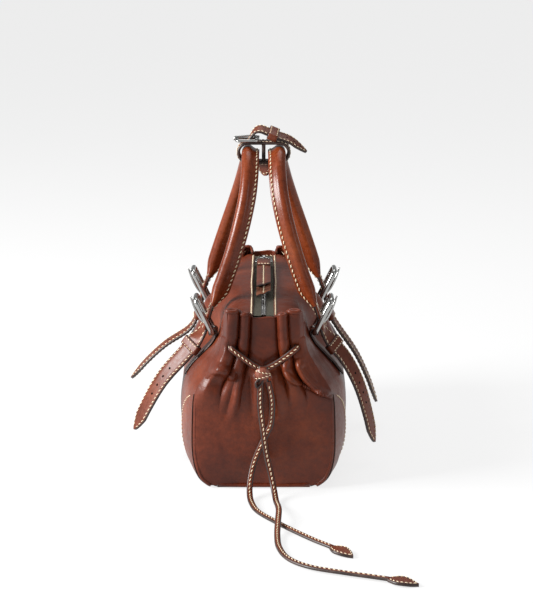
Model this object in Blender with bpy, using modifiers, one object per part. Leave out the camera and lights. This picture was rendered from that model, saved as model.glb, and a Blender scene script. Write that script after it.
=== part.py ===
"""A leather handbag: soft body with pleated drawstring ends, two belted handles and a top zip.

Metres, +Z up. The bag stands on z = 0 with its base centre at the origin. Its length runs
along Y, the end that is described as near is at -Y, and left is -X.
"""

import math

import bmesh
import bpy
from mathutils import Matrix, Vector

# Body
HALF_LENGTH = 0.150
# Share of the body's upper swell that the handle fastenings let out at each end.
NEAR_HELD = 0.10
FAR_HELD = 0.42
LEATHER = 0.002
GAP = 0.0003
PATCH_LIFT = 0.0011
BASE_HALF_WIDTH = 0.0475
# Half section of the body as (half width, height), from the base to the zip.
END_OUTLINE = [
    (0.0480, 0.0006), (0.0570, 0.0040), (0.0660, 0.0140), (0.0705, 0.0360), (0.0705, 0.0700),
    (0.0680, 0.1000), (0.0560, 0.1220), (0.0440, 0.1440), (0.0405, 0.1600), (0.0370, 0.1700),
    (0.0310, 0.1760), (0.0220, 0.1790), (0.0112, 0.1795),
]
MIDDLE_OUTLINE = [
    (0.0500, 0.0006), (0.0660, 0.0040), (0.0790, 0.0140), (0.0865, 0.0340), (0.0887, 0.0640),
    (0.0868, 0.0880), (0.0805, 0.1140), (0.0700, 0.1410), (0.0640, 0.1600), (0.0550, 0.1700),
    (0.0450, 0.1770), (0.0300, 0.1805), (0.0112, 0.1815),
]
SPANS = len(END_OUTLINE) - 1

# Zip
ZIP_Z = 0.1788
ZIP_HALF_LENGTH = 0.140
SLIDER_Y = 0.100
PULL_Z = 0.1860

# Gussets
GUSSET_DEPTH = 0.1505
BELLY = 0.0095
PLEAT = 0.0045
PLEAT_PITCH = 0.0125
SLOT_Z = (0.1465, 0.1575)

# Handles and their buckles
ATTACH_Y = 0.068
BAR_Z = 0.144
BAR_RADIUS = 0.0026
BAR_STANDOFF = 0.0066
FRAME_LENGTH = 0.041
FRAME_HALF_WIDTH = 0.0145
FRAME_LEAN = math.radians(26)
STRAP_HALF_WIDTH = 0.010
TAIL_THICK = 0.003
# how far each loose tail turns its face to the near end, by side and end
TAIL_TWIST = {(-1, -1): math.radians(46), (1, -1): math.radians(36),
              (-1, 1): math.radians(4), (1, 1): math.radians(6)}
TAB_LIFT = 0.0029
TUBE_RADIUS = 0.00675
APEX_X = 0.0165
APEX_Z = 0.3235

# Drawstring
THONG_WIDTH = 0.006
BELT_TWIST = math.radians(20)
THONG_THICK = 0.003

PARTS = None
HELPERS = None
MATERIALS = {}


def start_scene():
    """Empties the scene and makes the collections for the parts and the helpers."""
    global PARTS, HELPERS
    for obj in list(bpy.data.objects):
        bpy.data.objects.remove(obj)
    PARTS = bpy.data.collections.new("handbag")
    HELPERS = bpy.data.collections.new("helpers")
    for collection in (PARTS, HELPERS):
        bpy.context.scene.collection.children.link(collection)


def make_material(name, colour, roughness, metallic=0.0):
    material = bpy.data.materials.new(name)
    material.use_nodes = True
    shader = material.node_tree.nodes["Principled BSDF"]
    shader.inputs["Base Color"].default_value = (*colour, 1.0)
    shader.inputs["Roughness"].default_value = roughness
    shader.inputs["Metallic"].default_value = metallic
    MATERIALS[name] = material


def pivot(name, place):
    """An empty on a joint's axis, which the moving pieces hang from."""
    empty = bpy.data.objects.new(name, None)
    empty.location = place
    PARTS.objects.link(empty)
    return empty


def add(name, data, material, parent=None):
    """Links an object built in world coordinates, under its parent when it has one."""
    data.materials.append(MATERIALS[material])
    obj = bpy.data.objects.new(name, data)
    PARTS.objects.link(obj)
    if parent is not None:
        obj.parent = parent
        obj.matrix_parent_inverse = Matrix.Translation(-parent.location)
    return obj


def mesh_from(bm, name):
    bmesh.ops.recalc_face_normals(bm, faces=bm.faces)
    mesh = bpy.data.meshes.new(name)
    bm.to_mesh(mesh)
    bm.free()
    mesh.shade_smooth()
    mesh.set_sharp_from_angle(angle=math.radians(40))
    return mesh


def shell(name, rows, thickness, material, parent=None, skip=(), ring=False, offset=0.0):
    """A grid of points made into a sheet of even thickness. offset -1 or 1 picks the side."""
    bm = bmesh.new()
    grid = [[bm.verts.new(point) for point in row] for row in rows]
    for i in range(len(rows) if ring else len(rows) - 1):
        after = grid[(i + 1) % len(rows)]
        for j in range(len(rows[0]) - 1):
            if (i, j) not in skip:
                bm.faces.new((grid[i][j], after[j], after[j + 1], grid[i][j + 1]))
    for vert in [vert for vert in bm.verts if not vert.link_faces]:
        bm.verts.remove(vert)
    mesh = bpy.data.meshes.new(name)
    bm.to_mesh(mesh)
    bm.free()
    obj = add(name, mesh, material, parent)
    solid = obj.modifiers.new("thickness", "SOLIDIFY")
    solid.thickness = thickness
    solid.offset = offset
    solid.use_even_offset = True
    return obj


def loft(name, rings, material, parent=None):
    """A solid through rings of equal point count, with flat ends."""
    bm = bmesh.new()
    loops = [[bm.verts.new(point) for point in ring] for ring in rings]
    count = len(rings[0])
    for low, high in zip(loops, loops[1:]):
        for i in range(count):
            k = (i + 1) % count
            bm.faces.new((low[i], low[k], high[k], high[i]))
    bm.faces.new(list(reversed(loops[0])))
    bm.faces.new(loops[-1])
    return add(name, mesh_from(bm, name), material, parent)


def block(name, low, high, material, bevel=0.0, parent=None):
    """A box between two corners."""
    bm = bmesh.new()
    bmesh.ops.create_cube(bm, size=1.0)
    size = Vector(high) - Vector(low)
    centre = (Vector(high) + Vector(low)) / 2
    bmesh.ops.scale(bm, vec=size, verts=bm.verts)
    bmesh.ops.translate(bm, vec=centre, verts=bm.verts)
    obj = add(name, mesh_from(bm, name), material, parent)
    if bevel:
        edge = obj.modifiers.new("edges", "BEVEL")
        edge.width = bevel
        edge.segments = 1
    return obj


def bar(name, points, radius, material, parent=None, cyclic=False, sides=2):
    """A round bar, wire or cord along points."""
    curve = bpy.data.curves.new(name, "CURVE")
    curve.dimensions = "3D"
    curve.bevel_depth = radius
    curve.bevel_resolution = sides
    curve.use_fill_caps = not cyclic
    spline = curve.splines.new("POLY")
    spline.points.add(len(points) - 1)
    for slot, point in zip(spline.points, points):
        slot.co = (*point, 1.0)
    spline.use_cyclic_u = cyclic
    return add(name, curve, material, parent)


def smooth_path(points, count):
    """Evenly spaced points on a smooth curve through the given points."""
    points = [Vector(point) for point in points]
    padded = [2 * points[0] - points[1], *points, 2 * points[-1] - points[-2]]
    fine = []
    for i in range(1, len(padded) - 2):
        a, b, c, d = padded[i - 1:i + 3]
        for k in range(24):
            t = k / 24
            fine.append(0.5 * (2 * b + (c - a) * t + (2 * a - 5 * b + 4 * c - d) * t * t
                               + (3 * b - a - 3 * c + d) * t ** 3))
    fine.append(points[-1])
    lengths = [0.0]
    for before, after in zip(fine, fine[1:]):
        lengths.append(lengths[-1] + (after - before).length)
    result = []
    at = 0
    for k in range(count):
        goal = lengths[-1] * k / (count - 1)
        while at < len(fine) - 2 and lengths[at + 1] < goal:
            at += 1
        share = (goal - lengths[at]) / (lengths[at + 1] - lengths[at])
        result.append(fine[at].lerp(fine[at + 1], min(share, 1.0)))
    return result


def ease(value):
    value = max(0.0, min(1.0, value))
    return value * value * (3 - 2 * value)


def section_weight(y, height):
    """How far the section at y has grown from the narrow end outline to the middle one."""
    low = 1 - (abs(y) / HALF_LENGTH) ** 3
    held = NEAR_HELD if y < 0 else FAR_HELD
    high = held * ease((HALF_LENGTH - abs(y)) / 0.055) + (1 - held) * ease((0.052 - abs(y)) / 0.050)
    mix = ease((height - 0.088) / 0.045)
    return low * (1 - mix) + high * mix


def body_section(y, k):
    """(half width, height) of the body at y, for k from 0 at the base to SPANS at the zip."""
    k = max(0.0, min(float(SPANS), k))
    i = min(int(k), SPANS - 1)
    result = []
    for outline in (END_OUTLINE, MIDDLE_OUTLINE):
        a, b, c, d = (outline[max(0, min(SPANS, i + n))] for n in (-1, 0, 1, 2))
        t = k - i
        result.append([0.5 * (2 * q + (r - p) * t + (2 * p - 5 * q + 4 * r - s) * t * t
                              + (3 * q - p - 3 * r + s) * t ** 3)
                       for p, q, r, s in zip(a, b, c, d)])
    weight = section_weight(y, result[1][1])
    return [e + (m - e) * weight for e, m in zip(*result)]


def body_point(side, y, k, lift=0.0):
    """A point on the side panel's outer face, lifted off it by a distance."""
    r, z = body_section(y, k)
    r_low, z_low = body_section(y, k - 0.05)
    r_high, z_high = body_section(y, k + 0.05)
    along = Vector((r_high - r_low, 0, z_high - z_low)).normalized()
    return Vector((side * (r + along.z * lift), y, z - along.x * lift))


def half_width(y, height):
    """The body's half width at a height."""
    k = 0.0
    while body_section(y, k)[1] < height:
        k += 0.02
    return body_section(y, k)[0]


def widest_near(y, height):
    """The widest half width that a strap over y meets."""
    return max(half_width(y + across, height) for across in (-0.011, 0, 0.011))


def spread(low, high, count):
    return [low + (high - low) * i / (count - 1) for i in range(count)]


# ---------------------------------------------------------------- body

def make_panels():
    for side, name in ((-1, "left_panel"), (1, "right_panel")):
        rows = [[body_point(side, y, k) for k in spread(0, SPANS, 14)]
                for y in spread(-HALF_LENGTH, HALF_LENGTH, 13)]
        shell(name, rows, LEATHER, "leather", offset=-side)


def make_base():
    edge = BASE_HALF_WIDTH
    block("base_panel", (-edge, -HALF_LENGTH, 0), (edge, HALF_LENGTH, 0.0022), "leather")
    block("base_board", (-0.043, -0.140, 0.0026), (0.043, 0.140, 0.0046), "board")


def make_lining():
    """An open-topped inner bag that follows the panels from inside."""
    inset = 0.0062
    length = 0.138
    rings = []
    for k in (1.35, 2.2, 3.5, 5.0, 6.3, 7.3, 8.2):
        ring = []
        for side in (-1, 1):
            for y in spread(-length, length, 9):
                ring.append(body_point(side, y * side, k, -inset))
        rings.append(ring)
    bottom = [Vector((point.x * 0.80, point.y * 0.985, 0.0062)) for point in rings[0]]
    rings.insert(0, bottom)
    bm = bmesh.new()
    loops = [[bm.verts.new(point) for point in ring] for ring in rings]
    count = len(rings[0])
    for low, high in zip(loops, loops[1:]):
        for i in range(count):
            j = (i + 1) % count
            bm.faces.new((low[i], low[j], high[j], high[i]))
    half = count // 2
    for i in range(half - 1):
        bm.faces.new((loops[0][i], loops[0][i + 1], loops[0][count - 2 - i], loops[0][count - 1 - i]))
    bmesh.ops.recalc_face_normals(bm, faces=bm.faces)
    mesh = bpy.data.meshes.new("lining")
    bm.to_mesh(mesh)
    bm.free()
    obj = add("lining", mesh, "lining")
    solid = obj.modifiers.new("thickness", "SOLIDIFY")
    solid.thickness = 0.001
    solid.offset = -1


def gusset_half_width(z):
    """The gusset follows the end outline up to the gathered collar, which stands straight."""
    if z > 0.160:
        return 0.0395 - 0.002 * ease((z - 0.160) / 0.03)
    return half_width(-HALF_LENGTH, z) - 0.0002


def gusset_depth(x, z):
    """How far the gusset's inner face stands from the bag's middle."""
    edge = gusset_half_width(z)
    crown = max(0.0, 1 - (x / edge) ** 2) ** 0.7
    belly = ease(z / 0.045) * (1 - ease((z - 0.075) / 0.070))
    pleat = ease((z - 0.105) / 0.035) * 0.5 * (1 + math.cos(2 * math.pi * x / PLEAT_PITCH))
    lean = 0.002 * ease((z - 0.155) / 0.03)
    return GUSSET_DEPTH + BELLY * belly * crown + PLEAT * pleat * crown ** 0.5 + lean


def make_gussets():
    heights = [0.0040, 0.0120, 0.0260, 0.0480, 0.0750, 0.0980, 0.1140, 0.1280, 0.1380,
               SLOT_Z[0], SLOT_Z[1], 0.1680, 0.1790, 0.1885]
    columns = 20
    slots = [(heights.index(SLOT_Z[0]), j) for j in (1, 2, columns - 3, columns - 2)]
    for end, name in ((-1, "near_gusset"), (1, "far_gusset")):
        rows = []
        for z in heights:
            edge = gusset_half_width(z)
            row = []
            for u in spread(-1, 1, columns + 1):
                x = u * edge
                dip = 0.007 * (1 - ease((abs(x) - 0.010) / 0.008)) if z > 0.185 else 0.0
                row.append(Vector((x, end * gusset_depth(x, z), z - dip)))
            rows.append(row)
        shell(name, rows, LEATHER, "leather", skip=slots, offset=end)


def make_corner_patches():
    """A second layer on each lower corner of the side panels, with a rounded inner edge."""
    low_k, high_k, length = 0.7, 4.95, 0.060
    for side, left in ((-1, "left"), (1, "right")):
        for end, near in ((-1, "near"), (1, "far")):
            rows = []
            for k in spread(low_k, high_k, 8):
                t = (k - low_k) / (high_k - low_k)
                reach = length * (1 - t ** 3.5) ** 0.5 if t < 1 else 0.008
                reach = max(reach, 0.008)
                start = HALF_LENGTH - 0.0005
                rows.append([body_point(side, end * y, k, PATCH_LIFT)
                             for y in spread(start, start - reach, 6)])
            shell(f"{near}_{left}_corner_patch", rows, 0.0013, "leather", offset=side * end)


# ---------------------------------------------------------------- zip

def make_zip():
    """The chain, the slider and its long leather pull. The slider and the pull move."""
    for side, name in ((-1, "left"), (1, "right")):
        inner, outer = sorted((side * 0.0029, side * 0.0108))
        block(f"zip_tape_{name}", (inner, -ZIP_HALF_LENGTH, ZIP_Z - 0.0005),
              (outer, ZIP_HALF_LENGTH, ZIP_Z + 0.0005), "tape")
        inner, outer = sorted((side * 0.0002, side * 0.0026))
        block(f"zip_teeth_{name}", (inner, -0.134, ZIP_Z - 0.0012),
              (outer, 0.134, ZIP_Z + 0.0012), "silver", bevel=0.0005)
    for end, name in ((-1, "near"), (1, "far")):
        low, high = sorted((end * 0.1345, end * 0.1385))
        block(f"zip_stop_{name}", (-0.0026, low, ZIP_Z - 0.0012), (0.0026, high, ZIP_Z + 0.0012),
              "silver", bevel=0.0005)
    slide = pivot("zip_slide", (0, SLIDER_Y, ZIP_Z))
    plate_top = 0.1821
    slider = block("zip_slider", (-0.0042, SLIDER_Y - 0.0065, ZIP_Z + 0.0016),
                   (0.0042, SLIDER_Y + 0.0065, plate_top), "silver", bevel=0.0006, parent=slide)
    arch = [(0, SLIDER_Y + y, plate_top + z) for y, z in
            ((-0.0045, -0.0008), (-0.0045, 0.0040), (-0.0022, 0.0066),
             (0.0022, 0.0066), (0.0045, 0.0040), (0.0045, -0.0008))]
    bridge = bar("bridge", arch, 0.0011, "silver", sides=1)
    join_solid(slider, bridge)
    flip = pivot("pull_flip", (0, SLIDER_Y, PULL_Z))
    flip.parent = slide
    flip.location = (0, 0, PULL_Z - ZIP_Z)
    make_pull(flip)


def join_solid(target, curve_obj):
    """Unites a curve's solid with a mesh object, by a Boolean."""
    graph = bpy.context.evaluated_depsgraph_get()
    mesh = bpy.data.meshes.new_from_object(curve_obj.evaluated_get(graph))
    bm = bmesh.new()
    bm.from_mesh(mesh)
    bmesh.ops.remove_doubles(bm, verts=bm.verts, dist=1e-6)
    bm.to_mesh(mesh)
    bm.free()
    helper = bpy.data.objects.new(curve_obj.name + "_helper", mesh)
    helper.matrix_world = curve_obj.matrix_world
    HELPERS.objects.link(helper)
    helper.hide_render = True
    helper.display_type = "WIRE"
    bpy.data.objects.remove(curve_obj)
    union = target.modifiers.new("join", "BOOLEAN")
    union.operation = "UNION"
    union.object = helper


def under(parent, name, obj_maker):
    obj = obj_maker
    obj.name = name
    obj.parent = parent
    obj.matrix_parent_inverse = Matrix.Translation((0, -SLIDER_Y, -PULL_Z))
    return obj


def make_pull(flip):
    """A wire ring under the slider's bridge, with two leather leaves in a sewn cap."""
    near, far = SLIDER_Y - 0.0190, SLIDER_Y
    ring = [(-0.0048, far), (0.0048, far), (0.0060, far - 0.0010), (0.0092, near + 0.0012),
            (0.0084, near), (-0.0084, near), (-0.0092, near + 0.0012), (-0.0060, far - 0.0010)]
    under(flip, "pull_ring", bar("pull_ring", [(x, y, PULL_Z) for x, y in ring], 0.0010,
                                 "silver", cyclic=True))
    half_high = 0.0030
    loop = [(near - 0.0150, PULL_Z + half_high), (near - 0.0070, PULL_Z + half_high)]
    for degrees in (90, 45, 0, -45, -90):
        angle = math.radians(degrees)
        loop.append((near + half_high * math.cos(angle), PULL_Z + half_high * math.sin(angle)))
    loop += [(near - 0.0070, PULL_Z - half_high), (near - 0.0150, PULL_Z - half_high)]
    rows = [[(x, y, z) for x in (-0.0072, 0.0, 0.0072)] for y, z in loop]
    under(flip, "pull_cap", shell("pull_cap", rows, 0.0011, "leather"))
    top = near - 0.0032
    for name, z, tip in (("pull_leaf_upper", 0.00115, -0.045), ("pull_leaf_lower", -0.00115, -0.078)):
        rows = []
        for y in spread(top, tip, 9):
            slant = 0.010 if y == tip else 0.0
            rows.append([Vector((x, y - slant * (0.5 - x / 0.0156), PULL_Z + z))
                         for x in (-0.0076, 0.0, 0.0076)])
        under(flip, name, shell(name, rows, 0.0016, "leather"))


# ---------------------------------------------------------------- handles

def bar_place(side, end):
    """The centre of the buckle's lower bar, just clear of the body and the tab around it."""
    y = end * ATTACH_Y
    return Vector((side * (widest_near(y, BAR_Z) + BAR_STANDOFF), y, BAR_Z))


def handle_pivot_place(side):
    return (bar_place(side, -1) + bar_place(side, 1)) / 2


def handle_route(side):
    """The handle's centre line, from its near buckle over the top to its far buckle."""
    half = []
    for end in (-1, 1):
        x, _, z = bar_place(side, end)
        r = abs(x)
        lower = [(r + 0.0082, 1.0, z + 0.0042), (r + 0.0078, 1.0, z + 0.0105),
                 (r + 0.0040, 1.0, z + 0.0205), (r - 0.0010, 1.0, z + 0.0330)]
        wide = 0.0095 * (1 + end) / 2
        upper = [(0.0425 + wide, 0.985, 0.202), (0.0335 + wide, 0.955, 0.229),
                 (0.0258 + 0.85 * wide, 0.88, 0.256), (0.0198 + 0.6 * wide, 0.735, 0.283),
                 (0.0172 + 0.3 * wide, 0.53, 0.3045), (0.0166, 0.27, 0.3203)]
        half.append([Vector((side * px, end * py * ATTACH_Y, pz)) for px, py, pz in lower + upper])
    return half[0] + [Vector((side * APEX_X, 0, APEX_Z))] + list(reversed(half[1]))


def make_handles(pivots):
    """Rolled leather tubes with a sewn flange on the inner side, flat at both ends."""
    rolled = [(11.8, 1.6), (6.6, 2.0), (4.8, 4.8), (0, 6.75), (-4.8, 4.8), (-6.75, 0),
              (-4.8, -4.8), (0, -6.75), (4.8, -4.8), (6.6, -2.0), (11.8, -1.6)]
    flat = [(2.0, 2.5), (2.0, 6.5), (2.0, 10), (0, 10.2), (-2.0, 10), (-2.2, 0),
            (-2.0, -10), (0, -10.2), (2.0, -10), (2.0, -6.5), (2.0, -2.5)]
    for side, name in ((-1, "left_handle"), (1, "right_handle")):
        path = smooth_path(handle_route(side), 45)
        length = sum((b - a).length for a, b in zip(path, path[1:]))
        rings = []
        for i, centre in enumerate(path):
            tangent = (path[min(i + 1, 44)] - path[max(i - 1, 0)]).normalized()
            inner = Vector((-side, 0, 0))
            inner = (inner - tangent * inner.dot(tangent)).normalized()
            across = tangent.cross(inner)
            from_end = length * min(i, 44 - i) / 44
            mix = ease((from_end - 0.024) / 0.022)
            ring = []
            for (ra, rb), (fa, fb) in zip(rolled, flat):
                a = (fa + (ra - fa) * mix) / 1000
                b = (fb + (rb - fb) * mix) / 1000
                ring.append(centre + inner * a + across * b)
            rings.append(ring)
        handle = loft(name, rings, "leather", pivots[side])
        for end in (-1, 1):
            cut_prong_slot(handle, side, end)


def cut_prong_slot(handle, side, end):
    """A fork in the flat end of the handle, where the buckle's prong comes through."""
    low, up = bar_place(side, end), frame_up(side)
    out = Vector((up.z * side, 0, -up.x * side))
    bm = bmesh.new()
    bmesh.ops.create_cube(bm, size=1.0)
    bmesh.ops.scale(bm, vec=(0.014, 0.0046, 0.018), verts=bm.verts)
    mesh = bpy.data.meshes.new("prong_slot")
    bm.to_mesh(mesh)
    bm.free()
    cutter = bpy.data.objects.new(f"{handle.name}_slot_{end}", mesh)
    cutter.matrix_world = Matrix.Translation(low + up * 0.0095 + out * 0.0040) @ Matrix.Rotation(
        side * FRAME_LEAN, 4, "Y")
    HELPERS.objects.link(cutter)
    cutter.hide_render = True
    cutter.display_type = "WIRE"
    cut = handle.modifiers.new("prong slot", "BOOLEAN")
    cut.operation = "DIFFERENCE"
    cut.object = cutter


def frame_up(side):
    return Vector((side * math.sin(FRAME_LEAN), 0, math.cos(FRAME_LEAN)))


def make_buckles(pivots):
    """A rounded wire frame and a prong at each handle end. Both move with the handle."""
    for side, left in ((-1, "left"), (1, "right")):
        for end, near in ((-1, "near"), (1, "far")):
            low = bar_place(side, end)
            up = frame_up(side)
            out = Vector((up.z * side, 0, -up.x * side))
            outline = []
            corner = 0.004
            for cx, cz, start in ((1, 1, 0), (-1, 1, 90), (-1, -1, 180), (1, -1, 270)):
                for step in range(3):
                    angle = math.radians(start + 45 * step)
                    across = cx * (FRAME_HALF_WIDTH - corner) + corner * math.cos(angle)
                    along = cz * (FRAME_LENGTH / 2 - corner) + corner * math.sin(angle)
                    outline.append(low + up * (along + FRAME_LENGTH / 2) + Vector((0, across, 0)))
            bar(f"{near}_{left}_buckle", outline, BAR_RADIUS, "silver", pivots[side], cyclic=True)
            reach = BAR_RADIUS + 0.0015 + GAP
            eye = [low + up * reach * math.sin(a) + out * reach * math.cos(a)
                   for a in (math.radians(d) for d in (150, 119, 88, 57))]
            tip = low + up * (FRAME_LENGTH + 0.003) + out * (BAR_RADIUS + 0.0016 + GAP)
            middle = low + up * (FRAME_LENGTH * 0.45) + out * 0.0055
            path = eye + [middle, low + up * FRAME_LENGTH * 0.85 + out * 0.0055, tip]
            bar(f"{near}_{left}_prong", path, 0.0014, "silver", pivots[side], sides=1)


def make_fastenings():
    """What stays on the body at each handle end: the sewn tab, the keeper and the loose tail."""
    tips = {(-1, -1): (0.1375, 0.036), (1, -1): (0.1180, 0.022),
            (-1, 1): (0.1500, 0.054), (1, 1): (0.1280, 0.026)}
    for side, left in ((-1, "left"), (1, "right")):
        for end, near in ((-1, "near"), (1, "far")):
            y = end * ATTACH_Y
            name = f"{near}_{left}"
            bar_r = abs(bar_place(side, end).x)

            def place(r, z, across):
                return Vector((side * r, y + across, z))

            # tab: up the body, round behind the bar and down in front of it
            widths = (-0.010, -0.0025, 0.0025, 0.010)
            rows = [[place(half_width(y + across, z) + TAB_LIFT, z, across) for across in widths]
                    for z in (0.101, 0.112, 0.123, 0.133)]
            wrap = BAR_RADIUS + GAP + 0.001
            for degrees in (185, 135, 90, 45, 0, -30):
                angle = math.radians(degrees)
                rows.append([place(bar_r + wrap * math.cos(angle), BAR_Z + wrap * math.sin(angle), across)
                             for across in widths])
            skip = [(i, 1) for i in (3, 4, 5, 6, 7)]
            shell(f"{name}_tab", rows, 0.002, "leather", skip=skip)

            # tail: from the bar through the keeper, then standing off the body to its point
            stack = TAB_LIFT + 0.001 + GAP + 0.0013 + 2 * GAP + TAIL_THICK / 2
            keeper_z = 0.1295
            keeper_r = widest_near(y, keeper_z) + stack + 0.0042
            tip_r, tip_z = tips[side, end]
            knee_z = 0.112
            knee_r = widest_near(y, knee_z) + stack + 0.0016
            route = [(bar_r + 0.0080, BAR_Z - 0.0005), (keeper_r, keeper_z), (knee_r, knee_z)]
            for t, bow in ((0.35, 0.004), (0.68, 0.0035), (1.0, 0.0)):
                route.append((knee_r + (tip_r - knee_r) * t + bow, knee_z + (tip_z - knee_z) * t + bow * 0.5))
            line = smooth_path([(r, 0, z) for r, z in route], 15)
            def turned(i, u, v):
                """A point u out of the tail's face and v across it. The near edge keeps its place."""
                run = (line[min(i + 1, 14)] - line[max(i - 1, 0)]).normalized()
                twist = TAIL_TWIST[side, end] * (0.4 + 0.6 * ease(i / 1.5)) * (1 - 0.3 * ease((i - 4) / 10))
                fade = 1 - ease((i - 4) / 10)
                lift = STRAP_HALF_WIDTH * math.sin(twist) * fade
                out = lift + v * math.sin(twist) + u * math.cos(twist)
                shift = -STRAP_HALF_WIDTH * (1 - math.cos(twist)) * fade
                return place(line[i].x - run.z * out, line[i].z + run.x * out,
                             shift + v * math.cos(twist) - u * math.sin(twist))

            rows = []
            for i in range(15):
                half = STRAP_HALF_WIDTH * (1.0, 0.96, 0.66, 0.24)[max(0, i - 11)]
                rows.append([turned(i, 0, v) for v in (-half, 0, half)])
            shell(f"{name}_strap_tail", rows, TAIL_THICK, "leather")

            # keeper: a sewn loop round the tail
            at = min(range(1, 5), key=lambda i: abs(line[i].z - keeper_z))
            slope = turned(at + 1, 0, 0) - turned(at - 1, 0, 0)
            slope.normalize()
            half_thick = TAIL_THICK / 2 + GAP + 0.0018
            half_across = STRAP_HALF_WIDTH + 0.0013
            loop = [(-1, -1), (-1, 0), (-1, 1), (1, 1), (1, 0), (1, -1)]
            rows = [[turned(at, u * half_thick, v * half_across) + slope * w for w in (-0.0042, 0.0042)]
                    for u, v in loop]
            shell(f"{name}_keeper", rows, 0.0013, "leather", ring=True)


# ---------------------------------------------------------------- handle belt

def make_handle_belt(parent):
    """The short belt that holds both handles together at the top."""
    half_wide = 0.0085
    inner = TUBE_RADIUS + 0.0025
    middle = inner + 0.0010
    loop = []
    for side, start in ((1, -90), (-1, 90)):
        for step in range(9):
            angle = math.radians(start + 22.5 * step)
            loop.append((side * APEX_X + middle * math.cos(angle), APEX_Z + middle * math.sin(angle)))
    rows = [[(x, y, z) for y in (-half_wide, 0.0, half_wide)] for x, z in loop]
    shell("belt_band", rows, 0.0020, "leather", parent, ring=True)

    top = APEX_Z + middle + 0.0010
    bottom = APEX_Z - middle - 0.0010
    block("belt_divider", (-0.0012, -0.0070, APEX_Z - inner + GAP),
          (0.0012, 0.0070, APEX_Z + inner - GAP), "leather", parent=parent)
    rows = []
    for z, half in ((bottom - GAP, 0.0080), (bottom - 0.006, 0.0080), (bottom - 0.0115, 0.0068),
                    (bottom - 0.0145, 0.0036)):
        rows.append([(0.77 * v, -0.64 * v, z) for v in (-half, 0, half)])
    shell("belt_tab", rows, 0.0026, "leather", parent)

    wire = 0.0015
    frame_z = top + GAP + wire
    frame = [(-0.0285, -0.0085), (-0.0260, -0.0108), (-0.0085, -0.0108), (-0.0060, -0.0085),
             (-0.0060, 0.0085), (-0.0085, 0.0108), (-0.0260, 0.0108), (-0.0285, 0.0085)]
    bar("belt_buckle", [(x, y, frame_z) for x, y in frame], wire, "silver", parent, cyclic=True)
    reach = wire + GAP + 0.0014
    prong = [(-0.0285 + reach * math.cos(a), frame_z + reach * math.sin(a))
             for a in (math.radians(d) for d in (190, 150, 110, 80))]
    prong += [(-0.0150, frame_z + reach + 0.0010), (-0.0050, frame_z + reach)]
    bar("belt_prong", [(x, 0, z) for x, z in prong], 0.0010, "silver", parent, sides=1)

    route = [(-0.0155, top + 0.0018), (-0.0130, top + 0.0060), (-0.0085, top + 0.0115),
             (-0.0030, top + 0.0130), (0.0040, top + 0.0105), (0.0150, top + 0.0062),
             (0.0270, top + 0.0020), (0.0370, top - 0.0050), (0.0455, top - 0.0115)]
    path = smooth_path([(x, 0, z) for x, z in route], 19)
    rows = []
    for i, point in enumerate(path):
        half = half_wide * (1.0, 0.95, 0.66, 0.25)[max(0, i - 15)]
        turn = BELT_TWIST * ease(i / 5)
        across = Vector((0, math.cos(turn), math.sin(turn)))
        rows.append([point + across * (v * half) for v in (-1, -0.25, 0.25, 1)])
    shell("belt_strap", rows, 0.0022, "leather", parent, skip=[(i, 1) for i in (0, 1, 2)])

    centre = min(path, key=lambda p: abs(p.x - 0.0098))
    slope = Vector((1, 0, -0.42)).normalized()
    across = Vector((0, math.cos(BELT_TWIST), math.sin(BELT_TWIST)))
    across = (across - slope * across.dot(slope)).normalized()
    normal = slope.cross(across)
    rows = []
    for u, v in ((-1, -1), (-1, 0), (-1, 1), (1, 1), (1, 0), (1, -1)):
        rows.append([centre + slope * w + normal * (u * 0.0029) + across * (v * (half_wide + 0.0014))
                     for w in (-0.0040, 0.0040)])
    shell("belt_keeper", rows, 0.0013, "leather", parent, ring=True)


# ---------------------------------------------------------------- drawstrings

def thong_band(name, end, points):
    """A flat thong across the front of a gusset, its ends tucked in through the slots."""
    path = smooth_path([(x, end * y, z) for x, y, z in points], 25)
    rows = []
    for i, point in enumerate(path):
        tangent = (path[min(i + 1, 24)] - path[max(i - 1, 0)]).normalized()
        across = (Vector((0, 0, 1)) - tangent * tangent.z).normalized()
        rows.append([point + across * (u * THONG_WIDTH / 2) for u in (-1, 0, 1)])
    shell(name, rows, THONG_THICK * 0.8, "leather")


def knot(name, place):
    bm = bmesh.new()
    bmesh.ops.create_uvsphere(bm, u_segments=12, v_segments=8, radius=1.0)
    bmesh.ops.scale(bm, vec=(0.0080, 0.0052, 0.0070), verts=bm.verts)
    bmesh.ops.translate(bm, vec=place, verts=bm.verts)
    add(name, mesh_from(bm, name), "leather")


def leaf_tab(name, start, heading, length=0.028, half=0.0085):
    """A leaf-shaped end piece lying on the floor."""
    forward = Vector((math.cos(heading), math.sin(heading), 0))
    across = Vector((-forward.y, forward.x, 0))
    rows = []
    outline = ((0, 0.34), (0.12, 0.62), (0.30, 0.95), (0.48, 1.0), (0.68, 0.80), (0.86, 0.45), (1.0, 0.12))
    for t, share in outline:
        centre = Vector(start) + forward * (length * t)
        rows.append([centre + across * (half * share * u) for u in (-1, 0, 1)])
    shell(name, rows, 0.0030, "leather")


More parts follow.
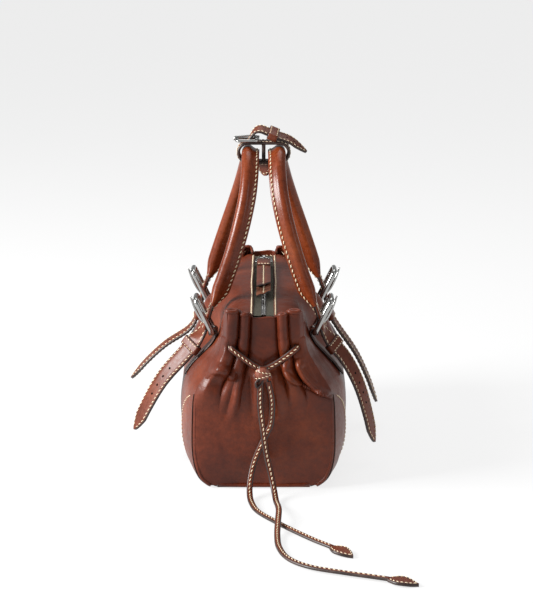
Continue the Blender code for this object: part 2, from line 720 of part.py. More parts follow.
# Routes of the two loose thongs, from the knot down the gusset and across the floor.
ROUTE_A = [
    (-0.0030, -0.1705, 0.1185), (-0.0034, -0.1714, 0.0943), (-0.0006, -0.1726, 0.0686),
    (0.0026, -0.1734, 0.0446), (0.0078, -0.1780, 0.0215), (0.0108, -0.1870, 0.0085),
    (0.0126, -0.2040, 0.0042), (0.0142, -0.2270, 0.0080), (0.0150, -0.2500, 0.0110),
    (0.0140, -0.2740, 0.0085), (0.0132, -0.2980, 0.0040), (0.0149, -0.3286, 0.0034),
    (0.0236, -0.3567, 0.0034), (0.0426, -0.3765, 0.0034), (0.0714, -0.3896, 0.0034),
    (0.0992, -0.4000, 0.0034), (0.1120, -0.4050, 0.0034),
]
ROUTE_B = [
    (0.0046, -0.1700, 0.1185), (0.0085, -0.1684, 0.0975), (0.0078, -0.1662, 0.0748),
    (0.0036, -0.1660, 0.0634), (-0.0015, -0.1662, 0.0524), (-0.0095, -0.1668, 0.0326),
    (-0.0135, -0.1745, 0.0150), (-0.0138, -0.1880, 0.0050), (-0.0112, -0.2100, 0.0034),
    (-0.0047, -0.2330, 0.0034), (0.0112, -0.2590, 0.0034), (0.0201, -0.2722, 0.0034),
    (0.0293, -0.2850, 0.0034), (0.0470, -0.3080, 0.0034), (0.0640, -0.3270, 0.0034),
]


def make_drawstrings():
    near = [(-0.0335, 0.1440, 0.1520), (-0.0340, 0.1510, 0.1520), (-0.0330, 0.1588, 0.1505),
            (-0.0200, 0.1620, 0.1405), (-0.0080, 0.1630, 0.1325), (0.0020, 0.1632, 0.1300),
            (0.0170, 0.1620, 0.1380), (0.0320, 0.1588, 0.1500), (0.0340, 0.1510, 0.1520),
            (0.0335, 0.1440, 0.1520)]
    thong_band("near_drawstring", -1, near)
    knot("near_knot", (-0.0008, -0.1702, 0.1265))
    thong_band("far_drawstring", 1, near)
    knot("far_knot", (0.0008, 0.1702, 0.1265))
    for name, route in (("a", ROUTE_A), ("b", ROUTE_B)):
        path = smooth_path(route, 38)
        bar(f"drawstring_tail_{name}", path, THONG_WIDTH / 2, "leather")
        last = path[-1]
        run = (path[-1] - path[-2]).normalized()
        start = last + run * (GAP + 0.0002)
        leaf_tab(f"drawstring_tip_{name}", (start.x, start.y, 0.0019), math.atan2(run.y, run.x))


def main():
    start_scene()
    make_material("leather", (0.185, 0.052, 0.028), 0.42)
    make_material("lining", (0.10, 0.075, 0.055), 0.85)
    make_material("board", (0.30, 0.24, 0.17), 0.80)
    make_material("tape", (0.060, 0.055, 0.040), 0.80)
    make_material("silver", (0.80, 0.80, 0.79), 0.18, 1.0)

    make_panels()
    make_base()
    make_lining()
    make_gussets()
    make_corner_patches()
    make_zip()

    pivots = {side: pivot(f"{name}_handle_swing", handle_pivot_place(side))
              for side, name in ((-1, "left"), (1, "right"))}
    make_handles(pivots)
    make_buckles(pivots)
    make_fastenings()
    make_handle_belt(pivot("belt_tilt", (-APEX_X, 0, APEX_Z)))
    make_drawstrings()


main()
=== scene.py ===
"""Looks of a leather handbag: pleated drawstring ends, two belted handles and a top zip.

Metres, +Z up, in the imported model's frame. The bag's length runs along Y and the near end is at -Y.
The body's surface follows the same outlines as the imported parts, so every piece lies where its part is.
"""

import math
from bisect import bisect_left
from functools import lru_cache

import bmesh
import bpy
from mathutils import Matrix, Vector, noise


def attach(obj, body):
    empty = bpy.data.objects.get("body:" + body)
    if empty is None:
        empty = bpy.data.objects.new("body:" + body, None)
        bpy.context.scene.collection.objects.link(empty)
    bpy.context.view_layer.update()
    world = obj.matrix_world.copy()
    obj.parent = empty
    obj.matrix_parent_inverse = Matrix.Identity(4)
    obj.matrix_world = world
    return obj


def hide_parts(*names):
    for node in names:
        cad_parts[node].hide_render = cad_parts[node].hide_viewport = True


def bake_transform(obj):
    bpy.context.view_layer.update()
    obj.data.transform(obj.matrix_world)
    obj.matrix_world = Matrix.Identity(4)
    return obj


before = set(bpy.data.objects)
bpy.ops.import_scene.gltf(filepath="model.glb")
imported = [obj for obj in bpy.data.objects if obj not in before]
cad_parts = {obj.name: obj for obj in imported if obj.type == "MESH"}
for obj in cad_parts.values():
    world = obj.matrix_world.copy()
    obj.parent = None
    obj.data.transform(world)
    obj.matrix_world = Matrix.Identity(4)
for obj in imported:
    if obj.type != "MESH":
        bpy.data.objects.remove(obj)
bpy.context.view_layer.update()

# ---------------------------------------------------------------- dimensions

HALF_LENGTH = 0.150
NEAR_HELD = 0.10
FAR_HELD = 0.42
END_OUTLINE = [
    (0.0480, 0.0006), (0.0570, 0.0040), (0.0660, 0.0140), (0.0705, 0.0360), (0.0705, 0.0700),
    (0.0680, 0.1000), (0.0560, 0.1220), (0.0440, 0.1440), (0.0405, 0.1600), (0.0370, 0.1700),
    (0.0310, 0.1760), (0.0220, 0.1790), (0.0112, 0.1795),
]
MIDDLE_OUTLINE = [
    (0.0500, 0.0006), (0.0660, 0.0040), (0.0790, 0.0140), (0.0865, 0.0340), (0.0887, 0.0640),
    (0.0868, 0.0880), (0.0805, 0.1140), (0.0700, 0.1410), (0.0640, 0.1600), (0.0550, 0.1700),
    (0.0450, 0.1770), (0.0300, 0.1805), (0.0112, 0.1815),
]
SPANS = len(END_OUTLINE) - 1
ATTACH_Y = 0.068
BAR_Z = 0.144
BAR_RADIUS = 0.0026
FRAME_LENGTH = 0.041
FRAME_HALF_WIDTH = 0.0145
FRAME_LEAN = math.radians(26)
STRAP_HALF_WIDTH = 0.010
STRAP_THICK = 0.003
APEX_X = 0.0165
APEX_Z = 0.3235
TUBE_RADIUS = 0.00675
SLIDER_Y = 0.100
PULL_Z = 0.186
ZIP_Z = 0.1788
THONG_WIDTH = 0.006
STITCH_PITCH = 0.0048
SKIN = 0.002
# where the seam beside the zip lies on the body's section
ZIP_SEAM_K = 11.86
TAIL_TWIST = {(-1, -1): math.radians(46), (1, -1): math.radians(36),
              (-1, 1): math.radians(4), (1, 1): math.radians(6)}
BELT_TWIST = math.radians(20)
SIDES = ((-1, "left"), (1, "right"))
ENDS = ((-1, "near"), (1, "far"))

# ---------------------------------------------------------------- materials


def nodes_of(name):
    material = bpy.data.materials.new(name)
    material.use_nodes = True
    tree = material.node_tree
    shader = tree.nodes["Principled BSDF"]
    place = tree.nodes.new("ShaderNodeTexCoord")
    return material, tree, shader, place.outputs["Object"]


def texture(tree, kind, place, scale, **settings):
    node = tree.nodes.new(kind)
    tree.links.new(place, node.inputs["Vector"])
    node.inputs["Scale"].default_value = scale
    for key, value in settings.items():
        node.inputs[key].default_value = value
    return node


def ramp(tree, value, stops):
    node = tree.nodes.new("ShaderNodeValToRGB")
    tree.links.new(value, node.inputs["Fac"])
    elements = node.color_ramp.elements
    while len(elements) < len(stops):
        elements.new(0.5)
    for element, (at, colour) in zip(elements, stops):
        element.position = at
        element.color = (*colour, 1.0)
    return node.outputs["Color"]


def multiplied(tree, share, first, second):
    node = tree.nodes.new("ShaderNodeMix")
    node.data_type = "RGBA"
    node.blend_type = "MULTIPLY"
    sockets = {socket.name: socket for socket in node.inputs if socket.enabled}
    sockets["Factor"].default_value = share
    tree.links.new(first, sockets["A"])
    tree.links.new(second, sockets["B"])
    return [socket for socket in node.outputs if socket.enabled][0]


def bumped(tree, shader, height, strength, distance, after=None):
    node = tree.nodes.new("ShaderNodeBump")
    node.inputs["Strength"].default_value = strength
    node.inputs["Distance"].default_value = distance
    tree.links.new(height, node.inputs["Height"])
    if after is not None:
        tree.links.new(after, node.inputs["Normal"])
    tree.links.new(node.outputs["Normal"], shader.inputs["Normal"])
    return node.outputs["Normal"]


def leather_material(name, deep, middle, light, rough=(0.34, 0.50), grain=1.0):
    """Smooth calf: mottled dye, fine pores, and soft creases under a waxed finish."""
    material, tree, shader, place = nodes_of(name)
    broad = texture(tree, "ShaderNodeTexNoise", place, 14, Detail=4, Roughness=0.55)
    tone = ramp(tree, broad.outputs["Fac"], [(0.30, deep), (0.52, middle), (0.74, light)])
    fine = texture(tree, "ShaderNodeTexNoise", place, 210, Detail=5, Roughness=0.65)
    speck = ramp(tree, fine.outputs["Fac"], [(0.35, (0.72, 0.70, 0.68)), (0.65, (1.12, 1.10, 1.06))])
    tree.links.new(multiplied(tree, 0.8, tone, speck), shader.inputs["Base Color"])
    low, high = rough
    shine = ramp(tree, fine.outputs["Fac"], [(0.3, (low,) * 3), (0.7, (high,) * 3)])
    tree.links.new(shine, shader.inputs["Roughness"])
    shader.inputs["Specular IOR Level"].default_value = 0.25
    shader.inputs["Coat Weight"].default_value = 0.06
    shader.inputs["Coat Roughness"].default_value = 0.30
    crease = texture(tree, "ShaderNodeTexNoise", place, 55, Detail=3, Distortion=0.8)
    pores = texture(tree, "ShaderNodeTexVoronoi", place, 780)
    first = bumped(tree, shader, crease.outputs["Fac"], 0.25 * grain, 0.0016)
    bumped(tree, shader, pores.outputs["Distance"], 0.22 * grain, 0.00035, first)
    return material


def plain_material(name, first, second, scale, rough, metal=0.0, bump=0.1, distance=0.0002):
    """Two close tones broken up by noise, with a matching fine bump."""
    material, tree, shader, place = nodes_of(name)
    cloud = texture(tree, "ShaderNodeTexNoise", place, scale, Detail=4)
    tree.links.new(ramp(tree, cloud.outputs["Fac"], [(0.35, first), (0.65, second)]),
                   shader.inputs["Base Color"])
    low, high = rough
    tree.links.new(ramp(tree, cloud.outputs["Fac"], [(0.3, (low,) * 3), (0.7, (high,) * 3)]),
                   shader.inputs["Roughness"])
    shader.inputs["Metallic"].default_value = metal
    bumped(tree, shader, cloud.outputs["Fac"], bump, distance)
    return material


def woven_material(name, first, second, scale):
    """A fine twill: two crossed waves set the colour and the bump."""
    material, tree, shader, place = nodes_of(name)
    waves = []
    for direction in ("X", "Y"):
        wave = texture(tree, "ShaderNodeTexWave", place, scale)
        wave.bands_direction = direction
        waves.append(wave.outputs["Fac"])
    weave = multiplied(tree, 1.0, *waves)
    tree.links.new(ramp(tree, weave, [(0.1, first), (0.7, second)]), shader.inputs["Base Color"])
    shader.inputs["Roughness"].default_value = 0.85
    bumped(tree, shader, weave, 0.5, 0.0003)
    return material


LEATHER = leather_material("cognac_calf", (0.062, 0.0095, 0.0030), (0.112, 0.0190, 0.0055),
                           (0.165, 0.0340, 0.0100))
HANDLE_LEATHER = leather_material("handle_calf", (0.092, 0.0150, 0.0040), (0.148, 0.0270, 0.0070),
                                  (0.205, 0.0450, 0.0120), rough=(0.22, 0.36), grain=0.6)
STRAP_LEATHER = leather_material("strap_calf", (0.072, 0.0140, 0.0055), (0.118, 0.0250, 0.0095),
                                 (0.165, 0.0410, 0.0160), rough=(0.34, 0.50), grain=0.8)
FLESH = leather_material("flesh_side", (0.12, 0.035, 0.014), (0.18, 0.055, 0.022),
                         (0.24, 0.080, 0.034), rough=(0.65, 0.85))
EDGE = plain_material("edge_paint", (0.020, 0.010, 0.008), (0.045, 0.022, 0.016), 120, (0.35, 0.55))
THREAD = plain_material("waxed_thread", (0.62, 0.50, 0.33), (0.80, 0.68, 0.48), 900, (0.45, 0.65),
                        bump=0.4)
SILVER = plain_material("polished_silver", (0.30, 0.30, 0.29), (0.44, 0.44, 0.43), 60, (0.12, 0.24),
                        metal=1.0, bump=0.04)
TAPE = woven_material("zip_tape_twill", (0.020, 0.018, 0.010), (0.085, 0.078, 0.050), 320)
LINING = woven_material("lining_twill", (0.045, 0.032, 0.022), (0.12, 0.09, 0.065), 240)
BOARD = plain_material("fibre_board", (0.24, 0.18, 0.12), (0.34, 0.27, 0.19), 90, (0.8, 0.95))
# near-black painted shade for the shadowed walls of the punched holes, not the leather's own colour
HOLE_SHADE = plain_material("hole_painted_shade", (0.006, 0.004, 0.003), (0.014, 0.008, 0.006), 200, (0.8, 0.9))

# ---------------------------------------------------------------- shape tools


def ease(value):
    value = max(0.0, min(1.0, value))
    return value * value * (3 - 2 * value)


def spread(low, high, count):
    return [low + (high - low) * i / (count - 1) for i in range(count)]


def curve_at(a, b, c, d, t):
    return 0.5 * (2 * b + (c - a) * t + (2 * a - 5 * b + 4 * c - d) * t * t
                  + (3 * b - a - 3 * c + d) * t ** 3)


def smooth_path(points, count):
    """Evenly spaced points on a smooth curve through the given points."""
    points = [Vector(point) for point in points]
    padded = [2 * points[0] - points[1], *points, 2 * points[-1] - points[-2]]
    fine = []
    for i in range(1, len(padded) - 2):
        fine += [curve_at(*padded[i - 1:i + 3], k / 24) for k in range(24)]
    fine.append(points[-1])
    lengths = [0.0]
    for before, after in zip(fine, fine[1:]):
        lengths.append(lengths[-1] + (after - before).length)
    result = []
    at = 0
    for k in range(count):
        goal = lengths[-1] * k / (count - 1)
        while at < len(fine) - 2 and lengths[at + 1] < goal:
            at += 1
        share = (goal - lengths[at]) / max(lengths[at + 1] - lengths[at], 1e-9)
        result.append(fine[at].lerp(fine[at + 1], min(share, 1.0)))
    return result


def tangents(path, closed=False):
    count = len(path)
    result = []
    for i in range(count):
        if closed:
            step = path[(i + 1) % count] - path[i - 1]
        else:
            step = path[min(i + 1, count - 1)] - path[max(i - 1, 0)]
        result.append(step.normalized())
    return result


def path_length(path):
    return sum((b - a).length for a, b in zip(path, path[1:]))


def section_weight(y, height):
    low = 1 - (abs(y) / HALF_LENGTH) ** 3
    held = NEAR_HELD if y < 0 else FAR_HELD
    high = held * ease((HALF_LENGTH - abs(y)) / 0.055) + (1 - held) * ease((0.052 - abs(y)) / 0.050)
    mix = ease((height - 0.088) / 0.045)
    return low * (1 - mix) + high * mix


def body_section(y, k):
    """(half width, height) of the body at y, for k from 0 at the base to SPANS at the zip."""
    k = max(0.0, min(float(SPANS), k))
    i = min(int(k), SPANS - 1)
    result = []
    for outline in (END_OUTLINE, MIDDLE_OUTLINE):
        four = [outline[max(0, min(SPANS, i + n))] for n in (-1, 0, 1, 2)]
        result.append([curve_at(*values, k - i) for values in zip(*four)])
    weight = section_weight(y, result[1][1])
    return [e + (m - e) * weight for e, m in zip(*result)]


def body_point(side, y, k, lift=0.0):
    """A point on the side panel's outer face, lifted off it by a distance, and the face's normal."""
    r, z = body_section(y, k)
    r_low, z_low = body_section(y, k - 0.05)
    r_high, z_high = body_section(y, k + 0.05)
    along = Vector((r_high - r_low, 0, z_high - z_low)).normalized()
    normal = Vector((side * along.z, 0, -along.x))
    return Vector((side * r, y, z)) + normal * lift, normal


@lru_cache(maxsize=None)
def section_table(y):
    """The body's outline at y as (height, half width) steps."""
    return [body_section(y, k * 0.02)[::-1] for k in range(SPANS * 50 + 1)]


def half_width(y, height):
    table = section_table(round(y, 6))
    at = bisect_left(table, [height, 0.0])
    return table[min(at, len(table) - 1)][1]


def widest_near(y, height):
    return max(half_width(y + across, height) for across in (-0.011, 0, 0.011))


# ---------------------------------------------------------------- making pieces


def dress(obj, body, replaced=(), blend=None):
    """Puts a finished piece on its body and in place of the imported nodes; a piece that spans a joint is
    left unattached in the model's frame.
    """
    if blend is None:
        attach(obj, body)
    else:
        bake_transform(obj)
    if replaced:
        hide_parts(*replaced)
    return obj


def link(name, mesh, materials):
    for material in materials:
        mesh.materials.append(material)
    obj = bpy.data.objects.new(name, mesh)
    bpy.context.scene.collection.objects.link(obj)
    return obj


def mesh_of(name, verts, faces, outward=False):
    mesh = bpy.data.meshes.new(name)
    mesh.from_pydata([tuple(vert) for vert in verts], [], faces)
    if outward:
        bm = bmesh.new()
        bm.from_mesh(mesh)
        bmesh.ops.recalc_face_normals(bm, faces=bm.faces)
        bm.to_mesh(mesh)
        bm.free()
    return mesh


def stack_faces(start, rings, sides):
    """Faces of a capped stack of equal rings whose points begin at start."""
    faces = []
    for ring in range(rings - 1):
        for k in range(sides):
            a, b = start + ring * sides + k, start + ring * sides + (k + 1) % sides
            faces.append((a, b, b + sides, a + sides))
    faces.append(tuple(start + k for k in reversed(range(sides))))
    faces.append(tuple(start + (rings - 1) * sides + k for k in range(sides)))
    return faces


def apply_modifiers(obj):
    graph = bpy.context.evaluated_depsgraph_get()
    mesh = bpy.data.meshes.new_from_object(obj.evaluated_get(graph))
    obj.modifiers.clear()
    obj.data = mesh
    return obj


def sheet_piece(name, rows, thickness, materials, offset=0.0, bevel=0.0):
    """A shaped skin of even thickness. The second material, when given, is its cut edge."""
    wide = len(rows[0])
    starts = [i * wide + j for i in range(len(rows) - 1) for j in range(wide - 1)]
    faces = [(a, a + wide, a + wide + 1, a + 1) for a in starts]
    obj = link(name, mesh_of(name, [point for row in rows for point in row], faces), materials)
    solid = obj.modifiers.new("thickness", "SOLIDIFY")
    solid.thickness = thickness
    solid.offset = offset
    if len(materials) > 1:
        solid.material_offset_rim = 1
    if bevel:
        edge = obj.modifiers.new("edges", "BEVEL")
        edge.width = bevel
        edge.segments = 2
        edge.limit_method = "ANGLE"
    apply_modifiers(obj)
    obj.data.shade_smooth()
    obj.data.set_sharp_from_angle(angle=math.radians(50))
    return obj


def section_loft(name, rings, materials, closed=False, edge_spans=(), smooth=180):
    """A solid through equal rings. Faces on edge_spans and the end caps take the second material."""
    count = len(rings[0])
    faces = stack_faces(0, len(rings), count)
    band = [int(j in edge_spans) for j in range(count)]
    marks = band * (len(rings) - 1)
    if closed:
        last = (len(rings) - 1) * count
        faces[-2:] = [(last + j, last + (j + 1) % count, (j + 1) % count, j) for j in range(count)]
        marks += band
    else:
        marks += [min(1, len(materials) - 1)] * 2
    mesh = mesh_of(name, [point for ring in rings for point in ring], faces, outward=True)
    mesh.polygons.foreach_set("material_index", marks)
    obj = link(name, mesh, materials)
    mesh.shade_smooth()
    mesh.set_sharp_from_angle(angle=math.radians(smooth))
    return obj


def strap(name, path, across, halves, thickness, materials=None, closed=False):
    """A flat leather strap along a path, with rounded painted edges."""
    materials = materials or (STRAP_LEATHER, EDGE)
    t = thickness / 2
    rings = []
    for i, (point, tangent) in enumerate(zip(path, tangents(path, closed))):
        side = across(i) if callable(across) else across
        side = (side - tangent * side.dot(tangent)).normalized()
        normal = tangent.cross(side)
        h = halves(i) if callable(halves) else halves
        c = min(t * 0.65, h * 0.5)
        ring = [(h, -t + c), (h, t - c), (h - c, t), (h * 0.35, t), (-h * 0.35, t), (-h + c, t),
                (-h, t - c), (-h, -t + c), (-h + c, -t), (-h * 0.35, -t), (h * 0.35, -t), (h - c, -t)]
        rings.append([point + side * u + normal * w for u, w in ring])
    return section_loft(name, rings, materials, closed, edge_spans=(0, 1, 5, 6, 7, 11), smooth=60)


def tube(name, path, radius, material, closed=False, sides=12, flat=1.0, side_hint=Vector((0, 0, 1))):
    """A round rod or wire. radius may be a function of the point's number."""
    rings = []
    for i, (point, tangent) in enumerate(zip(path, tangents(path, closed))):
        first = side_hint - tangent * side_hint.dot(tangent)
        if first.length < 1e-3:
            first = Vector((1, 0, 0)) - tangent * tangent.x
        first.normalize()
        second = tangent.cross(first)
        r = radius(i) if callable(radius) else radius
        rings.append([point + first * (r * math.cos(a)) + second * (r * flat * math.sin(a))
                      for a in (2 * math.pi * k / sides for k in range(sides))])
    return section_loft(name, rings, (material,), closed)


# one stitch as rings of thread: (place along the stitch, thickness), each as a share
STITCH_RINGS = ((-0.5, 0.35), (-0.34, 0.95), (0.0, 1.1), (0.34, 0.95), (0.5, 0.35))
STITCH_SIDES = 6


class Seams:
    """Sewing thread, gathered by body so that each body has one stitched piece."""

    def __init__(self):
        self.made = {}

    def sew(self, key, path, normal, pitch=STITCH_PITCH, radius=0.00042, share=0.70):
        """Lays stitches along a path. normal is one vector, or one for each point of the path."""
        verts, faces = self.made.setdefault(key, ([], []))
        normals = normal if isinstance(normal, list) else [normal] * len(path)
        lengths = [0.0]
        for a, b in zip(path, path[1:]):
            lengths.append(lengths[-1] + (b - a).length)
        count = int(lengths[-1] / pitch)
        at = 0
        for number in range(count):
            goal = (number + 0.5) * lengths[-1] / count
            while at < len(path) - 2 and lengths[at + 1] < goal:
                at += 1
            mix = (goal - lengths[at]) / max(lengths[at + 1] - lengths[at], 1e-9)
            centre = path[at].lerp(path[at + 1], mix)
            along = (path[at + 1] - path[at]).normalized()
            up = normals[at].lerp(normals[at + 1], mix)
            up = (up - along * up.dot(along)).normalized()
            side = along.cross(up)
            slant = side * (0.10 * pitch)
            start = len(verts)
            for step, size in STITCH_RINGS:
                spot = centre + along * (step * pitch * share) + slant * (step * 2)
                spot += up * (radius * (0.55 if abs(step) < 0.4 else -0.5))
                for k in range(STITCH_SIDES):
                    angle = 2 * math.pi * k / STITCH_SIDES
                    verts.append(tuple(spot + side * (radius * size * math.cos(angle))
                                       + up * (radius * size * 0.8 * math.sin(angle))))
            faces.extend(stack_faces(start, len(STITCH_RINGS), STITCH_SIDES))

    def piece(self, key, name):
        verts, faces = self.made[key]
        mesh = mesh_of(name, verts, faces)
        mesh.shade_smooth()
        return link(name, mesh, (THREAD,))


SEAMS = Seams()

# ---------------------------------------------------------------- body


def panel_lift(y, k, point):
    """Soft wrinkles of the side panels, and the roll where they meet the gussets."""
    lift = 0.0011 * noise.noise(point * 22) + 0.0006 * noise.noise(point * 52 + Vector((3, 1, 2)))
    pull = math.exp(-((abs(y) - ATTACH_Y) / 0.030) ** 2) * ease((k - 4.5) / 2.0)
    slack = noise.noise(point * 34 + Vector((7, 2, 5)))
    lift += 0.0011 * pull * slack * math.sin((y + point.z * 0.5) * 260 + 6 * slack)
    edge = ease((abs(y) - 0.128) / 0.020)
    pucker = math.sin(k * 9.0 + 2.0 * math.sin(k * 3.1)) * ease((k - 3.5) / 2.5)
    lift += edge * (0.0010 * pucker - 0.0006)
    return lift * ease(k / 1.2) * (1 - 0.8 * ease((k - 11.0) / 0.8))


def leather_roll(name, path, radius, sides=10, closed=False):
    """A rolled edge of the bag's own leather."""
    dress(tube(name, path, radius, LEATHER, closed=closed, sides=sides), "bag")


def make_panels():
    for side, name in SIDES:
        rows = []
        for y in spread(-HALF_LENGTH, HALF_LENGTH, 141):
            row = []
            for k in spread(0, SPANS, 85):
                point, normal = body_point(side, y, k)
                row.append(point + normal * panel_lift(y, k, point))
            rows.append(row)
        skin = sheet_piece(f"{name}_side", rows, SKIN, (LEATHER, EDGE), offset=-side)
        dress(skin, "bag", [f"{name}_panel"])
        for end, near in ENDS:
            rolled = []
            for k in spread(0.9, 9.6, 130):
                point, normal = body_point(side, end * HALF_LENGTH, k, -0.0012)
                wave = 0.0003 * math.sin(k * 14)
                rolled.append(point + normal * wave + Vector((0, -end * 0.0008, 0)))
            leather_roll(f"{near}_{name}_seam_roll", rolled, 0.0021)
        seam = [body_point(side, y, ZIP_SEAM_K, 0.0004)[0] for y in spread(-0.142, 0.142, 160)]
        SEAMS.sew("bag", seam, Vector((0, 0, 1)), radius=0.00060, share=0.80)
        lip = [point + Vector((-side * 0.0006, 0, -0.0008)) for point in seam]
        leather_roll(f"zip_lip_{name}", lip, 0.0012, sides=8)


# each pleat of the collar: left edge, right edge, how far it stands out, its top, its squareness
PLEATS = ((-0.0385, -0.0245, 0.0108, 0.1885, 2.3), (-0.0245, -0.0135, 0.0094, 0.1858, 2.0),
          (-0.0135, 0.0140, 0.0052, 0.1806, 5.0), (0.0140, 0.0240, 0.0108, 0.1852, 2.0),
          (0.0240, 0.0385, 0.0062, 0.1876, 2.6))
# the long folds on the right: start across, top, slope, bend, width, height
LONG_FOLDS = ((0.0355, 0.130, 0.45, 18, 0.0036, 0.0078), (0.0205, 0.1275, 0.50, 50, 0.0030, 0.0052))
# the short folds below the knot: start across, slope, height
SHORT_FOLDS = ((-0.0190, -0.26, 0.0044), (-0.0070, 0.04, 0.0030), (0.0095, 0.16, 0.0034))
SHORT_FOLD_TOP = 0.128
# each loop of the folded-back hem: place across, distance out, top, half width, half depth
HEM_LOOPS = ((-0.0313, 0.1640, 0.1884, 0.0048, 0.0019), (-0.0190, 0.1632, 0.1852, 0.0030, 0.0015),
             (0.0190, 0.1640, 0.1848, 0.0028, 0.0016), (0.0308, 0.1602, 0.1872, 0.0050, 0.0019))
HEM_RISE = 0.0012
COLLAR_HALF_WIDTH = 0.0380
GUSSET_DEPTH = 0.1505
FOOT_Z = 0.0030
EDGE_WIDTH = 0.0385


@lru_cache(maxsize=None)
def gusset_half_width(z):
    if z > 0.160:
        return 0.0395 - 0.002 * ease((z - 0.160) / 0.03)
    return half_width(-HALF_LENGTH, z) - 0.0002


def string_height(x):
    """Height of the drawstring across the front of a gusset."""
    return 0.130 + 0.022 * min(1.0, abs(x) / 0.034) ** 1.05


def pleat_at(x):
    """(stand-out, top) of the pleated collar at x, with a deep groove between pleats."""
    low, high, deep, top, square = next((p for p in PLEATS if x <= p[1]), PLEATS[-1])
    t = max(0.0, min(1.0, (x - low) / (high - low)))
    bulge = max(0.0, 1 - abs(2 * t - 1) ** square) ** 0.5
    out = deep * bulge
    for pleat in PLEATS[1:]:
        out -= 0.0062 * math.exp(-((x - pleat[0]) / 0.0016) ** 2)
    return out, top - 0.0016 * (1 - bulge)


def ridge(distance, width, height):
    """A soft fold with a sharper crease along its inner side."""
    return height * (math.exp(-(distance / width) ** 2)
                     - 0.5 * math.exp(-((distance + 1.5 * width) / (0.9 * width)) ** 2))


def bunched_folds(x, z):
    """The slack leather below the drawstring: a crescent on the left and two long folds on the right."""
    run, rise = x + 0.0455, z - 0.1140
    reach, angle = math.hypot(run, rise), math.atan2(rise, run)
    crescent = math.exp(-((reach - 0.0155) / 0.0042) ** 2)
    crescent *= ease((angle - 0.15) / 0.5) * ease((3.0 - angle) / 0.5)
    out = 0.0085 * crescent - 0.0062 * math.exp(-(reach / 0.0100) ** 2)
    for start, level, slope, bend, width, height in LONG_FOLDS:
        s = max(0.0, level - z)
        window = ease((level + 0.010 - z) / 0.008) * ease((z - 0.088) / 0.018)
        out += ridge(x - start - slope * s - bend * s * s, width, height) * window
    window = ease((SHORT_FOLD_TOP - z) / 0.010) * ease((z - 0.070) / 0.030)
    for start, slope, height in SHORT_FOLDS:
        out += ridge(x - start - slope * (SHORT_FOLD_TOP - z), 0.0040, height) * window
    return out


def gusset_point(end, u, z):
    """A point on the gusset, folded more and more towards the drawn-in collar."""
    edge = gusset_half_width(z)
    x = u * edge
    fold = ease((z - 0.078) / 0.058) ** 1.2
    crown = max(0.0, 1 - u * u) ** 0.7
    held = min(1.0, crown * 3)
    belly = 0.0095 * ease(z / 0.045) * (1 - ease((z - 0.085) / 0.065)) * crown
    pleat, _ = pleat_at(x * EDGE_WIDTH / edge)
    depth = pleat * fold + 0.0026 * ease((z - 0.080) / 0.03) * (1 - fold)
    press = math.exp(-((z - string_height(x)) / 0.0058) ** 2) * ease((0.040 - abs(x)) / 0.006)
    out = GUSSET_DEPTH + belly + held * (depth - 0.0032 * press * fold)
    strength = 1.0 if end < 0 else 0.6
    out += strength * bunched_folds(-end * x, z) * min(1.0, crown * 4)
    spot = Vector((x, z, 0.37 * end))
    out += (0.0012 * noise.noise(spot * 26) + 0.0005 * noise.noise(spot * 70)) * crown
    crease = noise.noise(Vector((x * 30 + 4, z * 95, end)))
    out += 0.0007 * max(0.0, crease) * crown * ease((0.085 - z) / 0.03)
    flare = 0.0022 * ease((z - 0.158) / 0.025)
    return Vector((x, end * (out + flare), z))


def collar_top(x):
    """Height of the gathered collar's edge: full pleats, and a lower flat flap in the middle."""
    blur = [pleat_at(x + step)[1] for step in (-0.0012, -0.0004, 0.0004, 0.0012)]
    return sum(blur) / 4 + 0.0006 * math.sin(x * 260)


def gusset_rows(end):
    rows = []
    for v in spread(0, 1, 190):
        row = []
        for u in spread(-1, 1, 281):
            top = collar_top(u * COLLAR_HALF_WIDTH)
            row.append(gusset_point(end, u, FOOT_Z + (top - FOOT_Z) * v))
        rows.append(row)
    return rows


def make_gussets():
    for end, name in ENDS:
        rows = gusset_rows(end)
        skin = sheet_piece(f"{name}_end_skin", rows, 0.0021, (LEATHER, EDGE), offset=end)
        dress(skin, "bag", [f"{name}_gusset"])
        hem = [point + Vector((0, end * 0.0011, 0.0003)) for point in rows[-1][::2]]
        leather_roll(f"{name}_collar_hem", hem, 0.0014)
        inside = [point + Vector((0, -end * 0.0006, -0.0045)) for point in rows[-1][4:-4:2]]
        SEAMS.sew("bag", inside, Vector((0, -end, 0)), radius=0.0005)
        for side, left in SIDES:
            column = 0 if side < 0 else -1
            rim = [row[column] + Vector((-side * 0.0012, end * 0.0016, 0)) for row in rows[::2]]
            leather_roll(f"{name}_{left}_gusset_roll", rim, 0.0019)
        make_base_roll(end, name)
        make_hem_loops(end, name)
        tack = [Vector((x, end * 0.1612, 0.1546)) for x in (-0.0018, 0, 0.0018)]
        SEAMS.sew("bag", tack, Vector((0, end, 0)), pitch=0.0036, radius=0.0006)


def make_base_roll(end, name):
    """The roll along a gusset's foot, which turns up and in at the corners."""
    half_long = 0.0505
    low = []
    for x in spread(-half_long, half_long, 48):
        turn = abs(x / half_long) ** 9
        low.append(Vector((x, end * (0.1530 - 0.0040 * turn), FOOT_Z + 0.0030 * turn)))
    leather_roll(f"{name}_base_roll", low, 0.0020)


